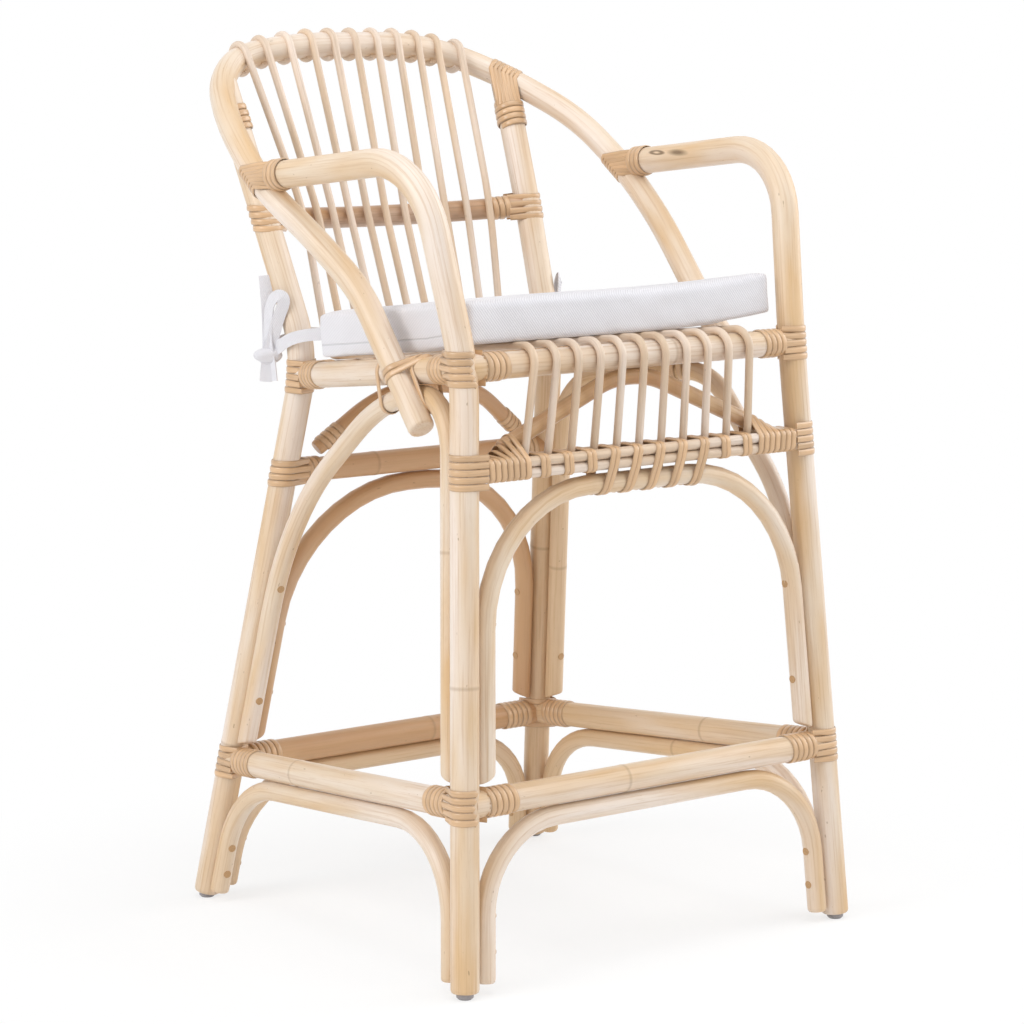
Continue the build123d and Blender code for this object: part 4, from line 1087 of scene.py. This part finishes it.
class STOOL_OT_bindings(bpy.types.Operator):
    """Wind the cane round every joint"""

    bl_idname = "rattan_stool.bindings"
    bl_label = "Wind the cane"

    def execute(self, context):
        s = context.scene.stool_poles
        w = stool_lines()
        step = context.scene.stool_cane.step
        self.wind_rings(w, s, step)
        self.wind_rail_ends(w, s, step)
        self.wind_bundle(w, s, step)
        self.wind_back(w, s)
        self.wind_sides(w, s)
        return {"FINISHED"}

    def half_width(self, diameter, off):
        """Half width of a rail at a height off its middle, kept wide enough for the strips to spread."""
        radius = diameter / 2
        return math.sqrt(max(radius**2 - off**2, (0.6 * radius) ** 2))

    def wind_rings(self, w, s, step):
        """Seat and foot rings: a coil on each rail's end, and strips round each leg from rail to rail."""
        coil_start = 0.0212
        strip_run = 0.0215
        leg_r = s.pole_d / 2 * 1.004
        for ring, diameter in (("seat", s.seat_rail_d), ("foot", s.foot_rail_d)):
            cane = Binding(f"cane_{ring}_corners")
            for place in ("front", "back", "left", "right"):
                a, b = w.rails[f"{ring}_rail_{place}"]
                turns = 5 if ring == "foot" else 3 if place == "back" else 4
                for near, far in ((a, b), (b, a)):
                    axis = (far - near).normalized()
                    cane.coil(near + axis * coil_start, axis, diameter / 2, turns, -UP, 0.3 * MM)
            for end in ("front", "back"):
                for side, sign in SIDES.items():
                    left, right = w.rails[f"{ring}_rail_{end}"]
                    front, back = w.rails[f"{ring}_rail_{side}"]
                    here = left if sign < 0 else right
                    ways = [(right - left) * -sign, (back - front) * (1 if end == "front" else -1)]
                    for i in range(5):
                        off = (i - 2) * step
                        middle = w.leg_at(end, side, (here.z + off) / MM)
                        reaches = [(strip_run, self.half_width(diameter, off))] * 2
                        cane.corner(middle, ways, reaches, leg_r)
            cane.build([f"{ring}_bindings"])

    def wind_rail_ends(self, w, s, step):
        """Back apron rail and crossbar: a coil on each end, and strips round the leg to the same rail."""
        strip_run = 0.025
        leg_r = s.pole_d / 2 * 1.02
        for name, rail, diameter, z, start, node in (
            ("cane_apron_ends", "apron_rail_back", s.apron_rail_d, APRON_Z["back"], 0.0225, "apron_bindings"),
            ("cane_crossbar_ends", "back_crossbar", s.crossbar_d, BAR_Z, 0.0245, "crossbar_wraps"),
        ):
            cane = Binding(name)
            line = trace(w.routes[rail])
            for side, run in (("left", line), ("right", line[::-1])):
                near = w.leg_at("back", side, z)
                far = next(p for p in run if (p - near).length > start + 2 * step)
                axis = (far - near).normalized()
                cane.coil(near + axis * start, axis, diameter / 2, 3, -UP, 0.3 * MM)
                # The strips at the apron rail's right end lie beside the side arch's limb
                if side == "right" and rail == "apron_rail_back":
                    continue
                for i in range(4):
                    off = (i - 1.5) * step
                    middle = w.leg_at("back", side, (near.z + off) / MM)
                    cane.corner(middle, [axis], [(strip_run, self.half_width(diameter, off))], leg_r)
            cane.build([node])

    def wind_bundle(self, w, s, step):
        """Sleeves on both ends of the bundle, and double strips between the slats."""
        aside = Vector((0, 1, 0))
        arch = trace(w.routes["upper_arch_front"])
        small = trace(w.routes["inner_arch_front"])
        arch_top = max(arch, key=lambda p: p.z)
        small_end = 0.164

        def outline(x, with_arch=False, with_small=False):
            """Outline round the rods at a place across the stool, and its middle."""
            middle = Vector((x, w.apron[0].y, w.apron[0].z))
            circles = [(rod[0].y - middle.y, rod[0].z - middle.z, s.rod_d / 2) for rod in w.rods]
            if with_arch:
                spot = where(arch, 0, x)[0] if abs(x) < 0.1 else arch_top
                circles.append((spot.y - middle.y, spot.z - middle.z, s.arch_d / 2))
            if with_small:
                foot = where(small, 0, math.copysign(min(abs(x), small_end), x))[0]
                full = 1 - max(0.0, abs(x) - small_end) / 0.048
                sunk = (foot - middle) * full
                circles.append((sunk.y, sunk.z, s.inner_arch_d / 2 * full))
            spots = []
            for y, z, radius in circles:
                spots += circle(y, z, radius + 0.2 * MM, 24)
            ring = resample(hull(spots), 64)
            low = min(range(len(ring)), key=lambda i: ring[i][1] + abs(ring[i][0] - 0.002))
            return middle, ring[low:] + ring[:low]

        cane = Binding("cane_bundle_sleeves")
        for sign in SIDES.values():
            first = abs(w.apron[0].x) - s.pole_d / 2 - 0.0022
            outlines = [outline(sign * (first - i * 1.05 * step), with_small=True) for i in range(8)]
            cane.spiral(outlines, aside, UP, width=1.04)
        cane.build(["bundle_sleeves"])
        cane = Binding("cane_bundle_legs")
        bundle_half = abs(w.rods[0][0].y - w.apron[0].y) + s.rod_d / 2
        bundle_low = w.apron[0].z - 2 * step
        rail_low = w.rails["apron_rail_back"][0].z - 1.5 * step
        leg_r = s.pole_d / 2 * 1.004
        # Strips on the legs beside an arch's limb: round the front legs, and round the right back leg
        for end, side, face, half, low, count in (
            ("front", "left", -1, bundle_half, bundle_low, 5),
            ("front", "right", -1, bundle_half, bundle_low, 5),
            ("back", "right", 1, s.apron_rail_d / 2, rail_low, 4),
        ):
            sign = SIDES[side]
            flat = [(sign * -0.0180, face * (half + 0.3 * MM), 0), (sign * -0.010, face * half, 0)]
            ring = [Vector(p) for p in flat]
            for k in range(16):
                angle = math.radians(-88 + 125 * k / 15)
                ring.append(Vector((sign * math.cos(angle), -face * math.sin(angle), 0)) * leg_r)
            normals = [Vector((0, face, 0))] * 2 + [p.normalized() for p in ring[2:]]
            for i in range(count):
                middle = w.leg_at(end, side, (low + i * step) / MM)
                cane.lay([middle + p for p in ring], normals)
        cane.build(["apron_bindings"])
        short = Binding("cane_bundle_strips")
        long = Binding("cane_crown_strips")
        for number in range(10):
            x = (number - 4.5) * SLAT_STEP["bundle"]
            holds = 3 <= number <= 7
            cane = long if holds else short
            outlines = [outline(x + (i - 1) * 0.85 * step, with_arch=holds) for i in range(3)]
            cane.spiral(outlines, aside, UP, width=0.94, lean=0.26 if holds else 0.0)
        short.build(["bundle_strips"])
        long.build(["arch_crown_wraps"])

    def wind_back(self, w, s):
        """Straps over the hoop where posts and arms meet it, and coils below them."""
        over_straps = 1.2 * MM
        posts = Binding("cane_post_tops")
        arms = Binding("cane_arm_ends")
        feet = Binding("cane_small_arch_ends")
        for side, sign in SIDES.items():
            post = w.legs["back", side]
            post_axis = (post[-2] - post[-1]).normalized()
            joint, hoop_way = where(w.hoop, 0, sign * POST_TOP)
            inward = Vector((-sign, 0, 0))
            posts.coil(joint + post_axis * 0.033, post_axis, s.pole_d / 2, 4, inward, over_straps)
            if sign > 0:
                self.saddle(posts, joint, hoop_way, post_axis, s, 0.040)
            arm = w.legs["front", side]
            arm_axis = (arm[-3] - arm[-1]).normalized()
            joint = arm[-1]
            near = min(range(len(w.hoop)), key=lambda i: (w.hoop[i] - joint).length)
            hoop_way = (w.hoop[near + 1] - w.hoop[near - 1]).normalized()
            arms.coil(joint + arm_axis * 0.029, arm_axis, s.pole_d / 2, 3, -UP, over_straps)
            self.saddle(arms, joint, hoop_way, arm_axis, s, 0.036)
            small = trace(w.routes["inner_arch_back"])
            end, inner = (small[0], small[8]) if sign < 0 else (small[-1], small[-9])
            axis = (inner - end).normalized()
            feet.coil(end + axis * 0.006, axis, s.inner_arch_d / 2, 4, -UP)
        posts.build(["post_wraps"])
        arms.build(["arm_wraps"])
        feet.build(["inner_arch_wraps"])

    def saddle(self, cane, joint, hoop_way, limb, s, reach):
        """Straps that run up one face of a limb, over the hoop and down the other face, side by side."""
        front = limb.cross(hoop_way).normalized()
        beyond = across(-limb, hoop_way)
        aside = across(hoop_way, limb)
        straps = 7
        fan = math.radians(19)
        limb_step = 4.0 * MM
        hoop_step = 5.2 * MM
        shoulder = 0.022
        for i in range(straps):
            off = i - (straps - 1) / 2
            turn = fan * off
            points = []
            normals = []
            for face in (1, -1):
                normal = front * (face * math.cos(turn)) + aside * math.sin(turn)
                end = joint + limb * reach + normal * (s.pole_d / 2 + 0.1 * MM)
                low = joint + limb * shoulder + aside * (off * limb_step)
                low += front * (face * (s.hoop_d / 2 + 0.6 * MM + (0.9 - 0.06 * off**2) * MM))
                points += [end, low] if face > 0 else [low, end]
                normals += [normal, front * face] if face > 0 else [front * face, normal]
                if face > 0:
                    for step in range(13):
                        angle = math.pi * step / 12
                        round_hoop = front * math.cos(angle) + beyond * math.sin(angle)
                        beside = joint + hoop_way * (off * hoop_step)
                        points.append(beside + round_hoop * (s.hoop_d / 2 + 0.15 * MM))
                        normals.append(round_hoop)
            cane.lay(points, normals, width=0.80)

    def wind_sides(self, w, s):
        """Lashings at each side, where the side arch, the seat rail and the hoop's end meet."""
        cane = Binding("cane_side_lashings")
        for side, sign in SIDES.items():
            near, far = w.rails[f"seat_rail_{side}"]
            rail = (far - near).normalized()
            arch = trace(w.routes[f"upper_arch_{side}"])
            hoop_end, hoop_next = (w.hoop[0], w.hoop[10]) if sign < 0 else (w.hoop[-1], w.hoop[-11])
            hoop_axis = (hoop_next - hoop_end).normalized()
            level = (near.z - (0.012 if sign < 0 else 0.002) - hoop_end.z) / hoop_axis.z
            middle = hoop_end + hoop_axis * level
            rail_spot = near + rail * (middle - near).dot(rail)
            rail_pole = (rail_spot, rail, s.seat_rail_d / 2)
            hoop_pole = (middle, hoop_axis, s.hoop_d / 2)

            def with_arch(spot, way, ahead, lift=0.0):
                """Band round the rail and the arch under it."""
                under, under_way = where(arch, 1, spot.y - ahead, 0.3)
                cane.band(spot, way, [rail_pole, (under, under_way, s.arch_d / 2)], lift, reach=0.06)

            # Upright bands behind the hoop's end, a crossed pair round it and a steep band ahead of it
            with_arch(rail_spot + rail * 0.052, rail, 0.0)
            centre = (rail_spot + middle) / 2 - UP * 0.004
            crossed = (rail + UP * 1.35).normalized()
            for off in (-0.0037, 0.0037):
                cane.band(centre + crossed * off, crossed, [rail_pole, hoop_pole], reach=0.055)
            if sign < 0:
                with_arch(rail_spot - rail * 0.033 - UP * 0.012, rail - UP * 0.5, 0.012, 0.4 * MM)
            else:
                with_arch(rail_spot + rail * 0.040, rail, 0.0)
        cane.build(["side_lashings"])


class STOOL_OT_fittings(bpy.types.Operator):
    """Finish the nail plugs and the floor glides"""

    bl_idname = "rattan_stool.fittings"
    bl_label = "Finish the fittings"

    def execute(self, context):
        c = context.scene.stool_colours
        # Beech plugs, end grain showing as fine spots of 0.8 mm
        plug = plain_finish("beech end grain", c.plug, 0.6, 0.8 * MM, 0.0002)
        # Injection-moulded polyethylene with a faint spark-eroded grain of 0.4 mm
        glide = plain_finish("grey polyethylene", c.glide, 0.45, 0.4 * MM, 0.0001)
        for node, material in (("nail_plugs", plug), ("floor_glides", glide)):
            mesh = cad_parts[node].data
            mesh.materials.clear()
            mesh.materials.append(material)
        return {"FINISHED"}


class STOOL_OT_cushion(bpy.types.Operator):
    """Sew and fill the seat cushion"""

    bl_idname = "rattan_stool.cushion"
    bl_label = "Sew the cushion"

    def execute(self, context):
        s = context.scene.stool_cushion
        w = stool_lines()
        shrink = s.swell * 0.3
        front_half = 0.211 - shrink
        back_half = 0.195 - shrink
        near = s.setback + shrink
        far = s.setback + s.depth - shrink
        bpy.ops.object.select_all(action="DESELECT")
        bpy.ops.mesh.primitive_cube_add(size=1, location=(0, 0, 0))
        obj = context.object
        obj.name = "seat_cushion"
        for v in obj.data.vertices:
            half, y = (front_half, near) if v.co.y < 0 else (back_half, far)
            v.co = (math.copysign(half, v.co.x), y, s.thickness if v.co.z > 0 else 0.0)
        bpy.ops.object.mode_set(mode="EDIT")
        bpy.ops.mesh.select_mode(type="EDGE")
        bpy.ops.mesh.select_all(action="DESELECT")
        bpy.ops.object.mode_set(mode="OBJECT")
        for edge in obj.data.edges:
            a, b = (obj.data.vertices[i].co for i in edge.vertices)
            edge.select = abs(a.z - b.z) > s.thickness / 2
        bpy.ops.object.mode_set(mode="EDIT")
        bpy.ops.mesh.bevel(offset=s.corner, segments=4)
        bpy.ops.mesh.select_all(action="SELECT")
        bpy.ops.mesh.bevel(offset=0.003, segments=2)
        bpy.ops.object.mode_set(mode="OBJECT")
        obj.data.remesh_voxel_size = 0.0045
        bpy.ops.object.voxel_remesh()
        self.fill(context, obj, s)
        self.settle(obj, s)
        smooth = obj.modifiers.new("Soften", "SUBSURF")
        smooth.levels = smooth.render_levels = 1
        bpy.ops.object.modifier_apply(modifier=smooth.name)
        self.place(obj, w, s)
        finish_piece(obj, cotton_twill(), ["cushion_cover", "cushion_foam"], "cushion")
        return {"FINISHED"}

    def fill(self, context, obj, s):
        """Swell the cover with its filling, no further than the swell."""
        start = [v.co.copy() for v in obj.data.vertices]
        cloth = obj.modifiers.new("Filling", "CLOTH")
        cloth.settings.use_pressure = True
        cloth.settings.uniform_pressure_force = 4.0
        cloth.settings.effector_weights.gravity = 0.0
        cloth.settings.quality = 5
        cloth.settings.bending_stiffness = 4.0
        last_frame = 20
        for number in range(1, last_frame + 1):
            context.scene.frame_set(number)
        bpy.ops.object.modifier_apply(modifier=cloth.name)
        context.scene.frame_set(1)
        for v, was in zip(obj.data.vertices, start):
            move = v.co - was
            if move.length > s.swell:
                move *= s.swell / move.length
            v.co = was + move

    def settle(self, obj, s):
        """Flatten the bottom on the slats, pull the sides in between the corners and crease the cover."""
        middle = s.setback + s.depth / 2
        front_half = 0.206
        narrowing = 0.014
        rim = 0.9
        pull = 0.0035
        crown = 0.0035
        for v in obj.data.vertices:
            x, y, z = v.co
            edge_x = abs(x) / (front_half - narrowing * (y - s.setback) / s.depth)
            edge_y = abs(y - middle) / (s.depth / 2)
            if edge_x > rim:
                v.co.x -= math.copysign(pull * (1 - edge_y**2), x)
            if edge_y > rim:
                v.co.y -= math.copysign(pull * (1 - edge_x**2), y - middle)
            crease = noise.noise(Vector((x * 30, y * 30, z * 55))) * 0.0009
            crease += noise.noise(v.co * 90) * 0.0003
            v.co += v.normal * crease * (1.0 if max(edge_x, edge_y) > rim else 0.5)
            if z > s.thickness * 0.7:
                v.co.z += crown * max(0.0, 1 - edge_x**2) * max(0.0, 1 - edge_y**2)
            v.co.z = max(v.co.z, 0.0)

    def place(self, obj, w, s):
        """Note the heights for the sewn line, lift the slack corner and lay the cushion on the slats."""
        seam_from = s.setback + 0.022
        corner_lift = 0.012
        side_hang = 0.0045
        up = [v.co.z if v.co.y > seam_from else 1.0 for v in obj.data.vertices]
        obj.data.attributes.new("up", "FLOAT", "POINT").data.foreach_set("value", up)
        origin = Vector((0, w.seat_front.y, w.seat_front.z)) + w.seat_normal * w.slat_top
        # The right front corner is slack, and the sides hang past the outer slats towards the back
        for v in obj.data.vertices:
            x, y, z = v.co
            slack = max(0.0, (x - 0.02) / 0.19) ** 2 * max(0.0, 1 - (y - s.setback) / 0.22)
            hang = min(1.0, max(0.0, abs(x) - 0.130) / 0.055) * min(1.0, max(0.0, y / 0.090))
            height = z + corner_lift * slack - side_hang * hang**2 * (1 - z / s.thickness)
            v.co = origin + Vector((x, 0, 0)) + w.seat_run * y + w.seat_normal * height
        bpy.ops.object.shade_smooth()


class STOOL_OT_ties(bpy.types.Operator):
    """Tie the cushion's tapes round the posts"""

    bl_idname = "rattan_stool.ties"
    bl_label = "Tie the tapes"

    def execute(self, context):
        w = stool_lines()
        s = context.scene.stool_cushion
        knot_z = 650.5
        for side, sign in SIDES.items():
            post = w.leg_at("back", side, knot_z)
            back_edge = w.seat_run * (s.setback + s.depth) + w.seat_normal * (w.slat_top + s.thickness / 2)
            start = (w.seat_front.y + back_edge.y - post.y) / MM - 3.0

            def near_post(*places):
                """Points given in millimetres outwards, backwards and up from the post's centre."""
                return [post + Vector((sign * x, y, z)) * MM for x, y, z in places]

            inner = near_post(
                (-16.4, start, -2), (-16.6, 4, -6), (-16.0, 21.0, -10),
                (0, 23.5, -14), (16.0, 22.5, -20), (22, 19.5, -25),
            )
            outer = near_post(
                (-8, start, -2), (5, -42, -2), (18.4, -20, -7), (19.4, 0, -15), (24, 13, -25),
            )
            hang = near_post((27.5, 16, -26), (30, 16.5, -42), (31, 17, -58))
            loop = near_post(
                (27, 15, -25), (25.5, 9, -8), (23, 4, 12), (18.5, -5, 34), (24, 2, 39),
                (28, 12, 30), (29, 15, 6), (28, 16, -18), (26, 13, -34), (25, 11, -57),
            )
            tail = near_post((27, 17, -24), (24, 20.5, -8), (23.0, 23, 14), (22.5, 26, 36), (23, 28.5, 58))
            knot_centre = near_post((28, 16.7, -29))[0]
            flat = Vector((0.786 * sign, 0.619, 0))
            strap = self.ribbon(f"tie_straps_{side}", [(inner, UP), (outer, UP), (hang, flat)], s)
            finish_piece(strap, cotton_twill(), [f"tie_strap_{side}"])
            knob = self.knot(f"tie_knot_{side}", knot_centre, flat)
            finish_piece(knob, cotton_twill(), [f"tie_bow_{side}"])
            for kind, points in (("loop", loop), ("tail", tail)):
                piece = self.ribbon(f"tie_{kind}_{side}", [(points, flat)], s)
                line = self.spline_points(points)
                finish_piece(piece, cotton_twill(), [f"tie_bow_{side}"])
        return {"FINISHED"}

    def spline_points(self, points):
        """Points along the smooth spline that has a route's points as its control points."""
        curve = bpy.data.curves.new("tape_route", "CURVE")
        curve.dimensions = "3D"
        spline = curve.splines.new("NURBS")
        spline.points.add(len(points) - 1)
        for control, point in zip(spline.points, points):
            control.co = (*point, 1.0)
        spline.order_u = 3
        spline.use_endpoint_u = True
        curve.resolution_u = 10
        holder = bpy.data.objects.new("tape_route", curve)
        mesh = bpy.data.meshes.new_from_object(holder)
        line = [v.co.copy() for v in mesh.vertices]
        bpy.data.objects.remove(holder)
        bpy.data.curves.remove(curve)
        bpy.data.meshes.remove(mesh)
        return line

    def ribbon(self, name, tapes, s):
        """Flat woven tapes along smooth routes, each with the way that its width points."""
        section = ((-1, -0.5), (1, -0.5), (1, 0.5), (0, 0.62), (-1, 0.5))
        size = len(section)
        verts = []
        faces = []
        for points, wide in tapes:
            line = self.spline_points(points)
            start = len(verts)
            for i, p in enumerate(line):
                along = line[min(i + 1, len(line) - 1)] - line[max(i - 1, 0)]
                wide = across(wide, along)
                thin = along.cross(wide).normalized()
                for x, z in section:
                    verts.append(p + wide * (x * s.tape_w / 2) + thin * (z * s.tape_t))
            for i in range(len(line) - 1):
                a = start + size * i
                b = a + size
                for j in range(size):
                    k = (j + 1) % size
                    faces.append((a + j, a + k, b + k, b + j))
            faces.append(tuple(range(start, start + size))[::-1])
            faces.append(tuple(range(len(verts) - size, len(verts))))
        obj = new_piece(name, verts, faces)
        close_mesh(obj)
        return obj

    def knot(self, name, centre, along):
        """Flat knot, drawn out one way, with the tape's folds across it."""
        bpy.ops.object.select_all(action="DESELECT")
        bpy.ops.mesh.primitive_uv_sphere_add(segments=28, ring_count=18, radius=1, location=(0, 0, 0))
        obj = bpy.context.object
        obj.name = name
        thin = along.cross(UP)
        half_length = 0.0160
        half_depth = 0.0068
        half_height = 0.0084
        for v in obj.data.vertices:
            x, y, z = v.co
            full = 1 + 0.07 * math.sin(4.2 * z + 1.6 * x)
            full *= 1 + 0.25 * abs(x) * (1 - abs(x))
            v.co = centre + (along * (half_length * x) + thin * (half_depth * y * full))
            v.co.z += half_height * z * full
        close_mesh(obj, 60)
        return obj


class STOOL_OT_stage(bpy.types.Operator):
    """Set the floor, the lights and the camera"""

    bl_idname = "rattan_stool.stage"
    bl_label = "Set the stage"

    def execute(self, context):
        scene = context.scene
        scene.view_settings.view_transform = "Standard"
        self.floor(scene)
        self.lights(scene)
        # Camera as the photograph's: 38 degrees round from the front and 8 degrees above the seat
        turn, tilt = math.radians(-38.2), math.radians(8.4)
        level = Vector((-math.sin(turn), math.cos(turn), 0))
        forward = level * math.cos(tilt) - UP * math.sin(tilt)
        right = forward.cross(UP).normalized()
        up = right.cross(forward)
        lens = bpy.data.cameras.new("camera")
        lens.sensor_width = 36
        lens.lens = 123.93
        camera = bpy.data.objects.new("camera", lens)
        camera.matrix_world = Matrix((right, up, -forward)).transposed().to_4x4()
        camera.location = at(-2377, -3027, 1017)
        scene.collection.objects.link(camera)
        scene.camera = camera
        return {"FINISHED"}

    def floor(self, scene):
        """Pale floor that keeps the soft shadow and fades to white away from the stool."""
        bpy.ops.object.select_all(action="DESELECT")
        bpy.ops.mesh.primitive_circle_add(vertices=96, radius=14, fill_type="NGON", location=(0, 0, 0))
        obj = bpy.context.object
        obj.name = "studio_floor"
        # Matt white paper sweep: no gloss, faint mottling of 80 mm, pure white where the camera sees far out
        material, tree, output = new_material("white paper floor")
        place = add_node(tree, "ShaderNodeTexCoord").outputs["Object"]
        inputs = {"Vector": place, "Scale": 12.0, "Detail": 2.0}
        mottle = add_node(tree, "ShaderNodeTexNoise", inputs).outputs["Fac"]
        tone = scene.stool_colours.floor
        shade = stained(tree, rgba(tone, 0.985), rgba(tone), mottle, (0.0, 1.0))
        paper = add_node(tree, "ShaderNodeBsdfDiffuse", {"Color": shade}).outputs["BSDF"]
        white = add_node(tree, "ShaderNodeEmission", {"Color": WHITE, "Strength": 1.0}).outputs["Emission"]
        far = add_node(tree, "ShaderNodeVectorMath", {0: place}, operation="LENGTH").outputs["Value"]
        fade = add_node(tree, "ShaderNodeMapRange", {
            "Value": far, "From Min": 0.35, "From Max": 0.75, "To Min": 0.72, "To Max": 1.0,
        }, interpolation_type="SMOOTHSTEP").outputs["Result"]
        inputs = {0: fade, 1: self.seen(tree)}
        factor = add_node(tree, "ShaderNodeMath", inputs, operation="MULTIPLY").outputs["Value"]
        mix = add_node(tree, "ShaderNodeMixShader", {0: factor, 1: paper, 2: white})
        tree.links.new(mix.outputs["Shader"], output.inputs["Surface"])
        obj.data.materials.append(material)

    def seen(self, tree):
        """1 for rays that the camera sees, straight or through gloss and glass."""
        path = add_node(tree, "ShaderNodeLightPath")
        seen = path.outputs["Is Camera Ray"]
        for ray in ("Is Glossy Ray", "Is Transmission Ray"):
            inputs = {0: seen, 1: path.outputs[ray]}
            seen = add_node(tree, "ShaderNodeMath", inputs, operation="ADD", use_clamp=True).outputs["Value"]
        return seen

    def lights(self, scene):
        """Soft white surroundings, with soft boxes on the left, on the right, above and in front."""
        world = bpy.data.worlds.new("white room")
        world.use_nodes = True
        tree = world.node_tree
        tree.nodes.clear()
        output = tree.nodes.new("ShaderNodeOutputWorld")
        strength = add_node(tree, "ShaderNodeMapRange", {
            "Value": self.seen(tree), "From Min": 0.0, "From Max": 1.0, "To Min": 0.46, "To Max": 1.0,
        }).outputs["Result"]
        sky = add_node(tree, "ShaderNodeBackground", {"Color": WHITE, "Strength": strength})
        tree.links.new(sky.outputs["Background"], output.inputs["Surface"])
        scene.world = world
        for name, place, size, power in (
            ("key_softbox", (-3.0, 0.1, 2.0), 1.8, 47),
            ("side_softbox", (2.8, -0.9, 1.8), 2.2, 40),
            ("top_softbox", (-0.3, -1.0, 3.2), 2.4, 38),
            ("front_softbox", (1.6, -3.0, 1.6), 2.0, 12),
        ):
            lamp = bpy.data.lights.new(name, "AREA")
            lamp.size = size
            lamp.energy = power
            obj = bpy.data.objects.new(name, lamp)
            obj.location = place
            aim = Vector((0, 0, 0.5)) - obj.location
            obj.rotation_euler = aim.to_track_quat("-Z", "Y").to_euler()
            scene.collection.objects.link(obj)


STEPS = (
    STOOL_OT_poles, STOOL_OT_slats, STOOL_OT_bindings, STOOL_OT_fittings, STOOL_OT_cushion, STOOL_OT_ties,
    STOOL_OT_stage,
)
SETTINGS = {
    "stool_poles": PoleSizes,
    "stool_cane": CaneSizes,
    "stool_cushion": CushionSizes,
    "stool_colours": StoolColours,
}


class STOOL_PT_panel(bpy.types.Panel):
    """Sizes, colours and steps of the stool"""

    bl_idname = "STOOL_PT_panel"
    bl_label = "Rattan Stool"
    bl_space_type = "VIEW_3D"
    bl_region_type = "UI"
    bl_category = "Rattan Stool"

    def draw(self, context):
        for name, group in SETTINGS.items():
            box = self.layout.box()
            for key in group.__annotations__:
                box.prop(getattr(context.scene, name), key)
        for step in STEPS:
            self.layout.operator(step.bl_idname)


CLASSES = (*SETTINGS.values(), *STEPS, STOOL_PT_panel)


def register():
    for cls in CLASSES:
        bpy.utils.register_class(cls)
    for name, group in SETTINGS.items():
        setattr(bpy.types.Scene, name, bpy.props.PointerProperty(type=group))


def unregister():
    for name in SETTINGS:
        delattr(bpy.types.Scene, name)
    for cls in reversed(CLASSES):
        bpy.utils.unregister_class(cls)


def main():
    register()
    for step in STEPS:
        group, name = step.bl_idname.split(".")
        getattr(getattr(bpy.ops, group), name)()


if __name__ == "__main__":
    main()
